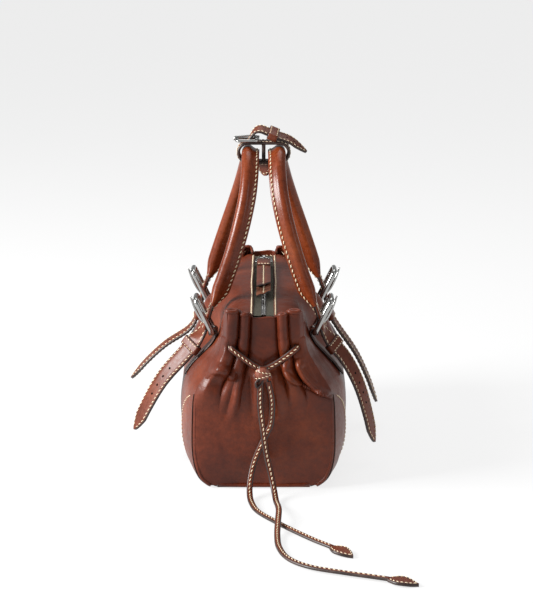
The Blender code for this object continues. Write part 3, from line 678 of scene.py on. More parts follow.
def make_hem_loops(end, name):
    """The gathered collar folds back on itself at both sides, so its rolled hem shows as loops."""
    for number, (x, front, top, wide, deep) in enumerate(HEM_LOOPS):
        loop = []
        for a in (2 * math.pi * k / 40 for k in range(40)):
            back = 1 - math.sin(a)
            y = end * (front - deep * back)
            loop.append(Vector((x + wide * math.cos(a), y, top + HEM_RISE * back / 2)))
        radius = 0.0024 if wide > 0.004 else 0.0021
        leather_roll(f"{name}_hem_loop_{number}", loop, radius, closed=True)
        wall = [[point - Vector((0, 0, drop)) for drop in (0.0, 0.004, 0.009, 0.016)]
                for point in loop[18:] + loop[:3]]
        dress(sheet_piece(f"{name}_hem_wall_{number}", wall, 0.0012, (LEATHER,)), "bag")


def make_corner_patches():
    low_k, high_k, length = 0.7, 4.95, 0.060
    start = HALF_LENGTH - 0.0010
    for side, left in SIDES:
        for end, near in ENDS:
            def reach_at(t):
                return max(length * max(0.0, 1 - t ** 3.5) ** 0.5, 0.004)

            rows = []
            for k in spread(low_k, high_k, 44):
                reach = reach_at((k - low_k) / (high_k - low_k))
                row = []
                for y in spread(start, start - reach, 36):
                    point, normal = body_point(side, end * y, k)
                    row.append(point + normal * (max(0.0002, panel_lift(end * y, k, point)) + 0.0008))
                rows.append(row)
            name = f"{near}_{left}_corner"
            patch = sheet_piece(name, rows, 0.0013, (LEATHER, EDGE), offset=side * end, bevel=0.0004)
            dress(patch, "bag", [f"{name}_patch"])
            edge, normals = [], []
            for t in spread(0.02, 0.985, 70):
                k = low_k + (high_k - low_k) * t
                reach = reach_at(t) - 0.0028 - 0.002 * t ** 8
                point, normal = body_point(side, end * (start - reach), k)
                edge.append(point + normal * (max(0.0002, panel_lift(point.y, k, point)) + 0.0023))
                normals.append(normal)
            SEAMS.sew("bag", edge, normals)


# ---------------------------------------------------------------- zip


CHAIN_HALF_LENGTH = 0.133
TOOTH_PITCH = 0.0024
TOOTH = [(-0.0007, -0.00085), (0.0005, -0.00095), (0.0012, -0.0006), (0.0026, -0.0005),
         (0.0026, 0.0005), (0.0012, 0.0006), (0.0005, 0.00095), (-0.0007, 0.00085)]
# how far the pull's ring reaches from the slider
PULL_REACH = 0.0190


def make_zip():
    for side, name in SIDES:
        rows = []
        for y in spread(-0.141, 0.141, 60):
            z = ZIP_Z + 0.0003 * math.sin(y * 90)
            rows.append([Vector((side * x, y, z)) for x in spread(0.0024, 0.0112, 6)])
        cloth = sheet_piece(f"zip_cloth_{name}", rows, 0.0008, (TAPE,))
        dress(cloth, "bag", [f"zip_tape_{name}"])
        make_chain(side, name)
    make_slider()


def make_chain(side, name):
    """One side's teeth. The right side's are half a step on, so that the two mesh."""
    verts, faces = [], []
    shift = TOOTH_PITCH / 2 if side > 0 else 0
    for number in range(int(2 * CHAIN_HALF_LENGTH / TOOTH_PITCH)):
        y = -CHAIN_HALF_LENGTH + TOOTH_PITCH * number + shift
        faces += stack_faces(len(verts), 4, len(TOOTH))
        for level, shrink in ((-0.0013, 0.86), (-0.0008, 1.0), (0.0008, 1.0), (0.0013, 0.86)):
            verts += [(side * (x * shrink + 0.0001), y + w * shrink, ZIP_Z + level) for x, w in TOOTH]
    title = f"zip_chain_{name}"
    chain = link(title, mesh_of(title, verts, faces, outward=True), (SILVER,))
    dress(chain, "bag", [f"zip_teeth_{name}"])


def make_slider():
    """The slider's shield-shaped plate and its bridge, then the long pull that hangs on it."""
    rings = []
    for level, shrink in ((0.0014, 0.90), (0.0018, 1.0), (0.0028, 1.0), (0.0034, 0.86)):
        ring = []
        for k in range(28):
            a = 2 * math.pi * k / 28
            x = 0.0046 * math.copysign(abs(math.cos(a)) ** 0.55, math.cos(a))
            y = 0.0070 * math.copysign(abs(math.sin(a)) ** 0.75, math.sin(a))
            x *= 1.0 - 0.18 * max(0.0, -math.sin(a))
            ring.append(Vector((x * shrink, SLIDER_Y + y * shrink, ZIP_Z + level)))
        rings.append(ring)
    plate = section_loft("slider_plate", rings, (SILVER, SILVER), smooth=40)
    dress(plate, "zip_slider", ["zip_slider"])
    half_arch = [(-0.0048, 0.1812), (-0.0046, 0.1850), (-0.0020, 0.1884)]
    arch = half_arch + [(-y, z) for y, z in reversed(half_arch)]
    path = smooth_path([(0, SLIDER_Y + y, z) for y, z in arch], 24)
    bridge = strap("slider_bridge", path, Vector((1, 0, 0)), 0.0016, 0.0013, (SILVER, SILVER))
    dress(bridge, "zip_slider")
    near = SLIDER_Y - PULL_REACH
    corners = [(-0.0046, SLIDER_Y), (0.0046, SLIDER_Y), (0.0066, SLIDER_Y - 0.0030), (0.0094, near + 0.0022),
               (0.0076, near), (-0.0076, near), (-0.0094, near + 0.0022), (-0.0066, SLIDER_Y - 0.0030)]
    loop = [Vector((x, y, PULL_Z)) for x, y in corners + corners[:1]]
    loop = [a.lerp(b, t) for a, b in zip(loop, loop[1:]) for t in (0.12, 0.37, 0.63, 0.88)]
    dress(tube("pull_wire", loop, 0.0011, SILVER, closed=True), "zip_pull", ["pull_ring"])
    make_pull_leather(near)


def make_pull_leather(near):
    """The fold that holds the ring, sewn across, and two leaves that end at a slant."""
    radius, cap = 0.0031, near - 0.0300
    wrap = [(cap, radius), (near - 0.0100, radius + 0.0002), (near - 0.0040, radius)]
    wrap += [(near + radius * math.cos(a), radius * math.sin(a))
             for a in spread(math.pi / 2, -math.pi / 2, 9)]
    wrap += [(near - 0.0040, -radius + 0.0003), (cap, -radius + 0.0004)]
    path = [Vector((0, y, PULL_Z + z)) for y, z in wrap]
    dress(strap("pull_fold", path, Vector((1, 0, 0)), 0.0076, 0.0013), "zip_pull", ["pull_cap"])
    line = [Vector((x, cap + 0.0025, PULL_Z + radius + 0.0008)) for x in spread(-0.0066, 0.0066, 8)]
    SEAMS.sew("zip_pull", line, Vector((0, 0, 1)), pitch=0.0033)
    for name, node, z, tip, slant, material in (
            ("pull_top_leaf", "pull_leaf_upper", 0.0012, -0.0450, 0.0200, STRAP_LEATHER),
            ("pull_under_leaf", "pull_leaf_lower", -0.0011, -0.0780, 0.0240, FLESH)):
        rows = []
        for v in spread(0, 1, 40):
            row = []
            for u in spread(-1, 1, 13):
                end = tip + slant * (u * 0.5 + 0.10)
                y = (near - 0.0032) + (end - near + 0.0032) * v
                lobes = 0.0006 * math.sin(math.pi * min(1.0, abs(u) * 1.15)) ** 0.7
                curl = 0.0016 * ease((v - 0.90) / 0.10) * (0.4 + 0.6 * abs(u))
                row.append(Vector((u * 0.0075, y, PULL_Z + z + (lobes + curl) * ease(v / 0.1))))
            rows.append(row)
        dress(sheet_piece(name, rows, 0.0015, (material, EDGE), bevel=0.0003), "zip_pull", [node])
        SEAMS.sew("zip_pull", [row[6] + Vector((0, 0, 0.0009)) for row in rows[6:-1]], Vector((0, 0, 1)),
                  radius=0.0005, share=0.85)


# ---------------------------------------------------------------- handles and buckles


def bar_place(side, end):
    y = end * ATTACH_Y
    return Vector((side * (widest_near(y, BAR_Z) + 0.0066), y, BAR_Z))


def frame_axes(side):
    up = Vector((side * math.sin(FRAME_LEAN), 0, math.cos(FRAME_LEAN)))
    return up, Vector((up.z * side, 0, -up.x * side))


def handle_route(side):
    half = []
    for end in (-1, 1):
        x, _, z = bar_place(side, end)
        r = abs(x)
        lower = [(r + 0.0082, 1.0, z + 0.0042), (r + 0.0078, 1.0, z + 0.0105),
                 (r + 0.0040, 1.0, z + 0.0205), (r - 0.0010, 1.0, z + 0.0330)]
        wide = 0.0095 * (1 + end) / 2
        upper = [(0.0425 + wide, 0.985, 0.202), (0.0335 + wide, 0.955, 0.229),
                 (0.0258 + 0.85 * wide, 0.88, 0.256), (0.0198 + 0.6 * wide, 0.735, 0.283),
                 (0.0172 + 0.3 * wide, 0.53, 0.3045), (0.0166, 0.27, 0.3203)]
        half.append([Vector((side * px, end * py * ATTACH_Y, pz)) for px, py, pz in lower + upper])
    return half[0] + [Vector((side * APEX_X, 0, APEX_Z))] + list(reversed(half[1]))


def rolled_section(count):
    """(inward, across) points of the rolled tube with its sewn flange."""
    flange = math.radians(35)
    points = []
    for k in range(count):
        angle = 2 * math.pi * k / count
        angle = angle - 2 * math.pi if angle > math.pi else angle
        s = angle / flange
        if abs(s) >= 1:
            points.append((TUBE_RADIUS * math.cos(angle), TUBE_RADIUS * math.sin(angle)))
        else:
            tip = 1 - abs(s)
            a = 0.0055 + 0.0063 * min(1.0, tip * 1.5) ** 0.8
            b = math.copysign(0.0017 + 0.0022 * max(0.0, 1 - tip * 1.9) ** 1.6, s)
            points.append((a, b * min(1.0, abs(s) * 9)))
    return points


def flat_section(count):
    points = []
    for k in range(count):
        angle = 2 * math.pi * k / count
        c, s = math.cos(angle), math.sin(angle)
        points.append((0.0021 * math.copysign(abs(c) ** 0.5, c), 0.0100 * math.copysign(abs(s) ** 0.7, s)))
    return points


def make_handles():
    count, rings_made = 36, 170
    rolled, flat = rolled_section(count), flat_section(count)
    for side, name in SIDES:
        path = smooth_path(handle_route(side), rings_made)
        length = path_length(path)
        rings, lines, facing = [], {-1: [], 1: []}, {-1: [], 1: []}
        backs = {(face, half): [] for face in (-1, 1) for half in (False, True)}
        for i, (centre, tangent) in enumerate(zip(path, tangents(path))):
            inner = Vector((-side, 0, 0))
            inner = (inner - tangent * inner.dot(tangent)).normalized()
            across = tangent.cross(inner)
            from_end = length * min(i, rings_made - 1 - i) / (rings_made - 1)
            mix = ease((from_end - 0.020) / 0.026)
            rings.append([centre + inner * (fa + (ra - fa) * mix) + across * (fb + (rb - fb) * mix)
                          for (ra, rb), (fa, fb) in zip(rolled, flat)])
            if from_end > 0.009:
                for face in lines:
                    lines[face].append(centre + inner * (0.0022 + 0.0072 * mix)
                                       + across * (face * (0.0080 - 0.0058 * mix)))
                    facing[face].append(across * (face * mix) + inner * (1 - mix))
            for face in (-1, 1):
                if mix < 0.35:
                    spot = centre - inner * 0.0021 + across * (face * 0.0080)
                    backs[face, i < rings_made / 2].append((spot, -inner))
        body = f"{name}_handle"
        handle = section_loft(f"{name}_handle_roll", rings, (HANDLE_LEATHER, EDGE), edge_spans=(0, count - 1))
        dress(handle, body, [f"{name}_handle"])
        for face, line in lines.items():
            SEAMS.sew(body, line, facing[face], pitch=0.0052, radius=0.00055)
        for spots in backs.values():
            SEAMS.sew(body, [spot for spot, _ in spots], [normal for _, normal in spots])


def rounded_frame(half_wide, half_long, corner, steps=7):
    points = []
    for cx, cz, start in ((1, 1, 0), (-1, 1, 90), (-1, -1, 180), (1, -1, 270)):
        for step in range(steps):
            angle = math.radians(start + 90 * step / (steps - 1))
            points.append((cx * (half_wide - corner) + corner * math.cos(angle),
                           cz * (half_long - corner) + corner * math.sin(angle)))
    return points


def make_buckles():
    for side, left in SIDES:
        for end, near in ENDS:
            low = bar_place(side, end)
            up, out = frame_axes(side)
            outline = [low + up * (z + FRAME_LENGTH / 2) + Vector((0, y, 0))
                       for y, z in rounded_frame(FRAME_HALF_WIDTH, FRAME_LENGTH / 2, 0.0055)]
            body = f"{left}_handle"
            ring = tube(f"{near}_{left}_frame", outline, 0.0027, SILVER, closed=True, sides=14, flat=0.82,
                        side_hint=out)
            dress(ring, body, [f"{near}_{left}_buckle"])
            eye = [low + up * (0.0046 * math.sin(a)) + out * (0.0046 * math.cos(a))
                   for a in (math.radians(d) for d in range(150, 54, -12))]
            route = eye[::2] + [low + up * (FRAME_LENGTH * 0.45) + out * 0.0056,
                                low + up * (FRAME_LENGTH * 0.85) + out * 0.0056,
                                low + up * (FRAME_LENGTH + 0.0036) + out * 0.0046]
            path = smooth_path(route, 34)
            pin = tube(f"{near}_{left}_pin", path, lambda i: 0.0016 * (1 - 0.45 * ease((i - 24) / 9)), SILVER)
            dress(pin, body, [f"{near}_{left}_prong"])


def cut_holes(obj, centres, normal, radius=0.0013):
    """Punches round holes through a strap; their walls take a near-black colour that is painted shade for the
    shadow inside the holes.
    """
    bm = bmesh.new()
    turn = Vector((0, 0, 1)).rotation_difference(normal).to_matrix().to_4x4()
    for centre in centres:
        bmesh.ops.create_cone(bm, cap_ends=True, segments=16, radius1=radius, radius2=radius, depth=0.012,
                              matrix=Matrix.Translation(centre) @ turn)
    mesh = bpy.data.meshes.new("punch")
    bm.to_mesh(mesh)
    bm.free()
    # the punched walls get the near-black painted shade
    mesh.materials.append(HOLE_SHADE)
    punch = link("punch", mesh, ())
    cut = obj.modifiers.new("holes", "BOOLEAN")
    cut.operation = "DIFFERENCE"
    cut.object = punch
    cut.material_mode = "TRANSFER"
    apply_modifiers(obj)
    bpy.data.objects.remove(punch)


# each loose tail's tip, by side and end: (distance from the middle, height)
TAIL_TIPS = {(-1, -1): (0.1375, 0.036), (1, -1): (0.1180, 0.022),
             (-1, 1): (0.1500, 0.054), (1, 1): (0.1280, 0.026)}
# the tab and the keeper's leather between the body and a tail's middle
TAB_STACK = 0.0061 + STRAP_THICK / 2
KEEPER_Z = 0.1295
KNEE_Z = 0.112
TAIL_STEPS = 85
# the points of a tail that lie behind its buckle, above the bar
BEND_STEPS = 23
HOLE_STEPS = (58, 65, 72, 79)


def make_tab(name, side, end):
    y = end * ATTACH_Y
    bar_r = abs(bar_place(side, end).x)
    wrap = BAR_RADIUS + 0.0013
    run = [(half_width(y, z) + 0.0026, z) for z in (0.1000, 0.112, 0.123, 0.133)]
    run += [(bar_r + wrap * math.cos(a), BAR_Z + wrap * math.sin(a))
            for a in (math.radians(d) for d in (185, 135, 90, 45, 0, -30))]
    path = smooth_path([(side * r, y, z) for r, z in run], 40)
    tab = strap(f"{name}_loop_tab", path, Vector((0, 1, 0)), 0.0100, 0.002)
    dress(tab, "bag", [f"{name}_tab"])


def tail_shape(side, end):
    """A tail's middle line, from inside its handle to its tip, and its width's direction on the way."""
    y = end * ATTACH_Y
    across = Vector((0, 1, 0))
    bar_r = abs(bar_place(side, end).x)

    def place(r, z):
        return Vector((side * r, y, z))

    keeper_r = widest_near(y, KEEPER_Z) + TAB_STACK + 0.0042
    knee_r = widest_near(y, KNEE_Z) + TAB_STACK + 0.0016
    tip_r, tip_z = TAIL_TIPS[side, end]
    route = [(bar_r + 0.0080, BAR_Z - 0.0005), (keeper_r, KEEPER_Z), (knee_r, KNEE_Z)]
    for t, bow in ((0.35, 0.004), (0.68, 0.0035), (1.0, 0.0)):
        route.append((knee_r + (tip_r - knee_r) * t + bow, KNEE_Z + (tip_z - KNEE_Z) * t + bow * 0.5))
    line = smooth_path([(r, 0, z) for r, z in route], TAIL_STEPS)
    path, widths = [], []
    for k, (spot, run) in enumerate(zip(line, tangents(line))):
        i = k / 6
        loose = 1 - ease((i - 4) / 10)
        twist = TAIL_TWIST[side, end] * (0.4 + 0.6 * ease(i / 1.5)) * (0.7 + 0.3 * loose)
        fade = STRAP_HALF_WIDTH * loose
        lift = fade * math.sin(twist)
        path.append(place(spot.x - run.z * lift, spot.z + run.x * lift)
                    - across * (fade * (1 - math.cos(twist))))
        widths.append(Vector((-side * run.z * math.sin(twist), math.cos(twist), run.x * math.sin(twist))))
    top = [place(bar_r - 0.0002, BAR_Z + 0.0290), place(bar_r + 0.0040, BAR_Z + 0.0190),
           place(bar_r + 0.0076, BAR_Z + 0.0095), path[0]]
    bend = smooth_path(top, BEND_STEPS + 1)[:-1]
    turning = [across.lerp(widths[0], ease(k / BEND_STEPS)) for k in range(BEND_STEPS)]
    return bend + path, turning + widths


def make_tail(name, side, end, handle, path, widths):
    """The pointed strap, punched with holes and sewn along both edges. It bends at the bar."""
    span = path_length(path[BEND_STEPS:])
    last = len(path) - 1

    def half(i):
        left_over = (last - i) / (TAIL_STEPS - 1) * span
        return 0.0101 * min(1.0, (left_over / 0.018) ** 0.62 + 0.06)

    piece = strap(f"{name}_strap", path, lambda i: widths[i], half, STRAP_THICK)
    directions = tangents(path)
    cut_holes(piece, [path[i] for i in HOLE_STEPS], directions[68].cross(widths[68]).normalized())
    bar = bar_place(side, end) + Vector((side * 0.006, 0, 0))
    depth = Vector((0, 0, 0.007))
    joint = ("bag", handle, bar - depth, bar + depth)
    dress(piece, "bag", [f"{name}_strap_tail"], joint)
    for lane in (-1, 1):
        for face in (-1, 1):
            thread, normals = [], []
            for i in range(14, last - 1):
                normal = directions[i].cross(widths[i]).normalized() * face
                inset = max(0.0, half(i) - 0.0021)
                thread.append(path[i] + widths[i] * (lane * inset) + normal * (STRAP_THICK / 2))
                normals.append(normal)
            SEAMS.sew(name, thread, normals, radius=0.00048)
    dress(SEAMS.piece(name, f"{name}_strap_thread"), "bag", (), joint)


def make_fastenings():
    """Tab, strap tail and keeper at each handle end."""
    for side, left in SIDES:
        for end, near in ENDS:
            name = f"{near}_{left}"
            make_tab(name, side, end)
            path, widths = tail_shape(side, end)
            make_tail(name, side, end, f"{left}_handle", path, widths)
            at = min(range(BEND_STEPS, 60), key=lambda i: abs(path[i].z - KEEPER_Z))
            slope = (path[at + 2] - path[at - 2]).normalized()
            half = (STRAP_HALF_WIDTH + 0.0013, STRAP_THICK / 2 + 0.0014, 0.0050)
            band = make_keeper(f"{name}_keeper_loop", "bag", path[at], slope, widths[at], half, 0.0012)
            dress(band, "bag", [f"{name}_keeper"])


def make_keeper(name, body, centre, slope, across, half, inset):
    """A narrow leather loop round a strap, sewn near both its edges. half is its half width, height
    and length, and inset is how far the sewing stays from its sides."""
    half_wide, half_high, half_long = half
    normal = slope.cross(across).normalized()
    loop = [centre + across * u + normal * w for u, w in rounded_frame(half_wide, half_high, 0.0016, 5)]
    band = strap(name, loop, slope, half_long, 0.0015, closed=True)
    for outward in (normal, -normal):
        for lane in (0.0016 - half_long, half_long - 0.0016):
            line = [centre + slope * lane + across * u + outward * (half_high + 0.00075)
                    for u in spread(inset - half_wide, half_wide - inset, 12)]
            SEAMS.sew(body, line, outward, pitch=0.0034)
    return band


# ---------------------------------------------------------------- handle belt

# the way the belt's hanging tab faces across, and outwards
TAB_ACROSS = Vector((0.77, -0.64, 0))
TAB_FACING = Vector((-0.64, -0.77, 0))
BELT_STEPS = 60


def make_belt():
    body, middle = "handle_belt", TUBE_RADIUS + 0.0035
    top, bottom = APEX_Z + middle + 0.001, APEX_Z - middle - 0.001
    make_belt_loop(body, middle)
    wall = [Vector((0, 0, z)) for z in spread(bottom + 0.002, top - 0.002, 8)]
    partition = strap("belt_partition", wall, Vector((0, 1, 0)), 0.0075, 0.0040)
    dress(partition, body, ["belt_divider"])
    make_belt_tab(body, bottom)
    make_belt_buckle(body, top)
    make_belt_strap(body, top)


def make_belt_loop(body, middle):
    """The wide band round both handles, sewn along both its edges."""
    across, half_wide = Vector((0, 1, 0)), 0.0088
    loop = []
    for side, start in ((1, -90), (-1, 90)):
        loop += [Vector((side * APEX_X + middle * math.cos(a), 0, APEX_Z + middle * math.sin(a)))
                 for a in (math.radians(start + 180 * k / 14) for k in range(15))]
    band = strap("belt_loop", loop, across, half_wide, 0.0032, closed=True)
    dress(band, body, ["belt_band"])
    loop += loop[:1]
    normals = []
    for point in loop:
        centre = Vector((max(-APEX_X, min(APEX_X, point.x)), 0, APEX_Z))
        normals.append((point - centre).normalized())
    for lane in (-1, 1):
        line = [point + across * (lane * (half_wide - 0.0018)) + normal * 0.0016
                for point, normal in zip(loop, normals)]
        SEAMS.sew(body, line, normals, pitch=0.004)


def make_belt_tab(body, bottom):
    """The round-ended tab that hangs under the belt."""
    drop = [Vector((0.0002 * k, 0, bottom + 0.0002 - 0.0145 * k / 11)) for k in range(12)]

    def half(i):
        return 0.0082 * min(1.0, ((11.4 - i) / 5) ** 0.5)

    dress(strap("belt_hanger", drop, TAB_ACROSS, half, 0.0030), body, ["belt_tab"])
    for face in (1, -1):
        rim = [TAB_ACROSS * (0.0062 * math.sin(a)) + TAB_FACING * (face * 0.0016)
               + Vector((0.0012, 0, bottom - 0.0068 - 0.0052 * math.cos(a))) for a in spread(-1.9, 1.9, 24)]
        SEAMS.sew(body, rim, TAB_FACING * face, pitch=0.0036)


def make_belt_buckle(body, top):
    wire, reach = 0.0016, 0.0031
    frame_z = top + 0.0003 + wire
    outline = [Vector((-0.0173 + x, y, frame_z)) for y, x in rounded_frame(0.0110, 0.0112, 0.0035)]
    ring = tube("belt_frame", outline, wire, SILVER, closed=True, flat=1.1)
    dress(ring, body, ["belt_buckle"])
    pin = [Vector((-0.0285 + reach * math.cos(a), 0, frame_z + reach * math.sin(a)))
           for a in (math.radians(d) for d in (190, 150, 110, 80))]
    pin += [Vector((-0.0150, 0, frame_z + reach + 0.0010)), Vector((-0.0045, 0, frame_z + reach))]
    dress(tube("belt_pin", smooth_path(pin, 24), 0.0011, SILVER), body, ["belt_prong"])


def make_belt_strap(body, top):
    """The belt's pointed end, which arches over the buckle and turns to one side, and its keeper."""
    route = [(-0.0155, top + 0.0018), (-0.0130, top + 0.0060), (-0.0085, top + 0.0115),
             (-0.0030, top + 0.0130), (0.0040, top + 0.0105), (0.0150, top + 0.0062),
             (0.0270, top + 0.0020), (0.0370, top - 0.0050), (0.0455, top - 0.0115)]
    path = smooth_path([(x, 0, z) for x, z in route], BELT_STEPS)

    def half(i):
        return 0.0086 * min(1.0, ((BELT_STEPS - 0.2 - i) / 12) ** 0.6)

    turns = [BELT_TWIST * ease(i / 18) for i in range(BELT_STEPS)]
    widths = [Vector((0, math.cos(turn), math.sin(turn))) for turn in turns]
    piece = strap("belt_end", path, lambda i: widths[i], half, 0.0026)
    cut_holes(piece, [path[i] for i in (38, 45, 52)], Vector((0.45, -0.34, 1)).normalized(), 0.0011)
    dress(piece, body, ["belt_strap"])
    directions = tangents(path)
    for lane in (-1, 1):
        line, normals = [], []
        for i in range(1, BELT_STEPS - 2):
            normal = directions[i].cross(widths[i]).normalized()
            normal = normal if normal.z > 0 else -normal
            line.append(path[i] + widths[i] * (lane * max(0.0, half(i) - 0.0018)) + normal * 0.0013)
            normals.append(normal)
        SEAMS.sew(body, line, normals, pitch=0.004)
    at = min(range(BELT_STEPS), key=lambda i: abs(path[i].x - 0.0098))
    slope = directions[at]
    aside = (widths[at] - slope * widths[at].dot(slope)).normalized()
    band = make_keeper("belt_runner", body, path[at], slope, aside, (0.0104, 0.0030, 0.0054), 0.0010)
    dress(band, body, ["belt_keeper"])


# ---------------------------------------------------------------- drawstrings

THONG_THICK = 0.003
BAND_THICK = 0.0026
# the two loose thongs, from the knot down the bag's front and along the floor to their leaf tips
ROUTE_A = [
    (-0.0030, -0.1705, 0.1185), (-0.0034, -0.1714, 0.0943), (-0.0006, -0.1726, 0.0686),
    (0.0026, -0.1734, 0.0446), (0.0078, -0.1780, 0.0215), (0.0108, -0.1870, 0.0085),
    (0.0126, -0.2040, 0.0042), (0.0142, -0.2270, 0.0080), (0.0150, -0.2500, 0.0110),
    (0.0140, -0.2740, 0.0085), (0.0132, -0.2980, 0.0040), (0.0149, -0.3286, 0.0034),
    (0.0236, -0.3567, 0.0034), (0.0426, -0.3765, 0.0034), (0.0714, -0.3896, 0.0034),
    (0.0992, -0.4000, 0.0034), (0.1120, -0.4050, 0.0034),
]
ROUTE_B = [
    (0.0046, -0.1700, 0.1185), (0.0085, -0.1684, 0.0975), (0.0078, -0.1662, 0.0748),
    (0.0036, -0.1660, 0.0634), (-0.0015, -0.1662, 0.0524), (-0.0095, -0.1668, 0.0326),
    (-0.0135, -0.1745, 0.0150), (-0.0138, -0.1880, 0.0050), (-0.0112, -0.2100, 0.0034),
    (-0.0047, -0.2330, 0.0034), (0.0112, -0.2590, 0.0034), (0.0201, -0.2722, 0.0034),
    (0.0293, -0.2850, 0.0034), (0.0470, -0.3080, 0.0034), (0.0640, -0.3270, 0.0034),
]
# the band through a gusset's slots: (across, distance out, height)
BAND = [(-0.0335, 0.1440, 0.1520), (-0.0340, 0.1530, 0.1520), (-0.0325, 0.1608, 0.1500),
        (-0.0200, 0.1632, 0.1405), (-0.0080, 0.1636, 0.1325), (0.0020, 0.1636, 0.1300),
        (0.0170, 0.1632, 0.1380), (0.0320, 0.1608, 0.1495), (0.0340, 0.1530, 0.1520),
        (0.0335, 0.1440, 0.1520)]


def thong(name, path, facing, thick):
    """A folded thong. facing gives the way its flat face looks at each point."""
    lines = tangents(path)
    return strap(name, path, lambda i: lines[i].cross(facing(i)), THONG_WIDTH / 2, thick)


def sew_thong(key, path, normals, thick, faces):
    for face in faces:
        line = [point + normal * (face * thick / 2) for point, normal in zip(path, normals)]
        SEAMS.sew(key, line, [normal * face for normal in normals], pitch=0.0046, radius=0.0005)


def make_bands():
    for end, name in ENDS:
        path = smooth_path([(x, end * d, z) for x, d, z in BAND], 120)
        lines = tangents(path)

        def facing(i):
            out = Vector((0, end, 0))
            return (out - lines[i] * out.dot(lines[i])).normalized()

        band = thong(f"{name}_draw_thong", path, facing, BAND_THICK)
        dress(band, "bag", [f"{name}_drawstring"])
        key = f"{name}_band"
        visible = range(14, 106)
        sew_thong(key, path[14:106], [facing(i) for i in visible], BAND_THICK, (1,))
        dress(SEAMS.piece(key, f"{name}_draw_thread"), "bag")
        make_knot(name, end)


def make_knot(name, end):
    """Sewing, a bundle's core and a short tucked loop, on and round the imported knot."""
    centre = Vector((end * 0.0008, end * 0.1700, 0.1265))
    depth = Vector((0, end, 0))
    for tilt, wide, deep, lift in ((-0.20, 0.0076, 0.0050, 0.0026), (0.26, 0.0080, 0.0054, -0.0022)):
        level = Vector((math.cos(tilt), 0, math.sin(tilt)))
        upright = Vector((-math.sin(tilt), 0, math.cos(tilt)))
        loop = [centre + level * (wide * math.cos(a)) + depth * (deep * math.sin(a)) + upright * lift
                for a in (2 * math.pi * k / 36 for k in range(36))]
        SEAMS.sew("bag", [p + depth * 0.0013 for p in loop[1:18]], depth, pitch=0.0036)

    def route(points, count):
        return smooth_path([centre + Vector((x, end * y, z)) for x, y, z in points], count)

    bundle = route([(0.0006, -0.0010, 0.0070), (0.0004, 0.0012, 0.0), (0.0006, 0.0002, -0.0078)], 20)
    dress(strap(f"{name}_knot_core", bundle, Vector((1, 0, 0)), 0.0052, 0.0052), "bag")
    ear = route([(-0.0030, 0.0020, -0.0040), (-0.0070, 0.0030, -0.0080), (-0.0060, 0.0022, -0.0130),
                 (-0.0020, 0.0010, -0.0105), (0.0005, 0.0008, -0.0060)], 30)
    dress(strap(f"{name}_knot_ear", ear, depth, 0.0026, 0.0020), "bag")


def make_tails():
    """The two loose thongs, which hang from the knot and lie on the floor, each with its thread and leaf tip
    on the bag.
    """
    for name, route, twist in (("a", ROUTE_A, 0.35), ("b", ROUTE_B, -0.30)):
        path = smooth_path(route, 150)
        lines = tangents(path)

        def facing(i):
            rise = ease(path[i].z / 0.040)
            roll = twist * math.sin(i * 0.055) * rise
            out = Vector((math.sin(roll), -math.cos(roll), 0)) * rise + Vector((0, 0, 1)) * (1 - rise)
            return (out - lines[i] * out.dot(lines[i])).normalized()

        tail = thong(f"thong_{name}", path, facing, THONG_THICK)
        dress(tail, "bag", [f"drawstring_tail_{name}"])
        key = f"thong_thread_{name}"
        normals = [facing(i) for i in range(2, len(path) - 1)]
        sew_thong(key, path[2:-1], normals, THONG_THICK, (1, -1))
        thread = dress(SEAMS.piece(key, key), "bag")
        tip, tip_thread = make_tip(name, path[-1], lines[-1])


def make_tip(name, start, run):
    """A leaf-shaped end tab, sewn round its edge, that lies on the floor."""
    forward = Vector((run.x, run.y, 0)).normalized()
    across = Vector((-forward.y, forward.x, 0))
    length, half, steps = 0.0285, 0.0086, 36
    outline = [(0, 0.36), (0.12, 0.62), (0.30, 0.95), (0.48, 1.0), (0.68, 0.80), (0.86, 0.45), (1.0, 0.06)]
    profile = smooth_path([(t, share, 0) for t, share in outline], steps)
    places, shares = [point.x for point in profile], [point.y for point in profile]
    base = Vector((start.x, start.y, 0.0029)) - forward * 0.0006
    path = [base + forward * (length * t) + Vector((0, 0, 0.0012 * math.sin(t * 5))) * t for t in places]
    leaf = strap(f"thong_tip_{name}", path, across, lambda i: half * max(shares[i], 0.06), 0.0032)
    dress(leaf, "bag", [f"drawstring_tip_{name}"])
    key = f"tip_thread_{name}"
    for lane in (-1, 1):
        line = [path[i] + across * (lane * max(0.0, half * shares[i] - 0.0019)) + Vector((0, 0, 0.0016))
                for i in range(3, steps - 3)]
        SEAMS.sew(key, line, Vector((0, 0, 1)), pitch=0.0038, radius=0.00048)
    return leaf, dress(SEAMS.piece(key, key), "bag")


# ---------------------------------------------------------------- kept parts, stage and camera


def finish_kept_parts():
    """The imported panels, lining and zip stops that stay get their materials."""
    kept = {"base_panel": LEATHER, "base_board": BOARD, "lining": LINING,
            "zip_stop_near": SILVER, "zip_stop_far": SILVER}
    for name, material in kept.items():
        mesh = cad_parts[name].data
        mesh.materials.clear()
        mesh.materials.append(material)


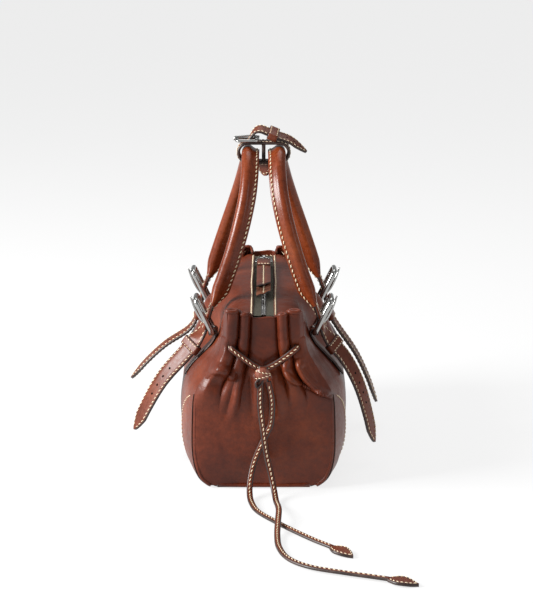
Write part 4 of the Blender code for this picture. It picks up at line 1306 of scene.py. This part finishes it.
def make_stage():
    bpy.ops.mesh.primitive_plane_add(size=60, location=(0, 0, 0))
    floor = bpy.context.object
    floor.name = "floor"
    material = bpy.data.materials.new("pale_floor")
    material.use_nodes = True
    shader = material.node_tree.nodes["Principled BSDF"]
    shader.inputs["Base Color"].default_value = (0.16, 0.16, 0.16, 1)
    shader.inputs["Roughness"].default_value = 0.9
    shader.inputs["Specular IOR Level"].default_value = 0.0
    shader.inputs["Emission Color"].default_value = (1, 1, 1, 1)
    shader.inputs["Emission Strength"].default_value = 0.79
    floor.data.materials.append(material)

    world = bpy.data.worlds.new("studio")
    bpy.context.scene.world = world
    world.use_nodes = True
    world.node_tree.nodes["Background"].inputs["Color"].default_value = (1, 1, 1, 1)
    world.node_tree.nodes["Background"].inputs["Strength"].default_value = 0.33

    aim = Vector((0, 0, 0.12))

    def area(name, place, size, power):
        light = bpy.data.lights.new(name, "AREA")
        light.shape = "RECTANGLE"
        light.size, light.size_y = size
        light.energy = power
        lamp = bpy.data.objects.new(name, light)
        lamp.location = place
        lamp.rotation_euler = (aim - Vector(place)).to_track_quat("-Z", "Y").to_euler()
        bpy.context.scene.collection.objects.link(lamp)

    area("left_key", (-1.60, -0.50, 1.00), (0.8, 0.8), 82)
    area("top_softbox", (0.1, 0.5, 1.6), (1.1, 1.1), 10)
    area("right_strip", (1.4, -0.9, 0.9), (0.35, 1.1), 4)

    scene = bpy.context.scene
    scene.view_settings.view_transform = "Standard"
    camera = bpy.data.cameras.new("camera")
    camera.lens = 109.85
    camera.sensor_width = 36
    eye = bpy.data.objects.new("camera", camera)
    eye.location = (0.0030, -1.94, 0.63)
    eye.rotation_euler = (math.radians(90 - 13.63), 0, 0)
    scene.collection.objects.link(eye)
    scene.camera = eye


make_stage()
make_tails()
make_bands()
make_panels()
make_gussets()
make_corner_patches()
make_zip()
make_handles()
make_buckles()
make_fastenings()
make_belt()
finish_kept_parts()
for body in ("bag", "left_handle", "right_handle", "handle_belt", "zip_pull"):
    dress(SEAMS.piece(body, f"{body}_stitching"), body)
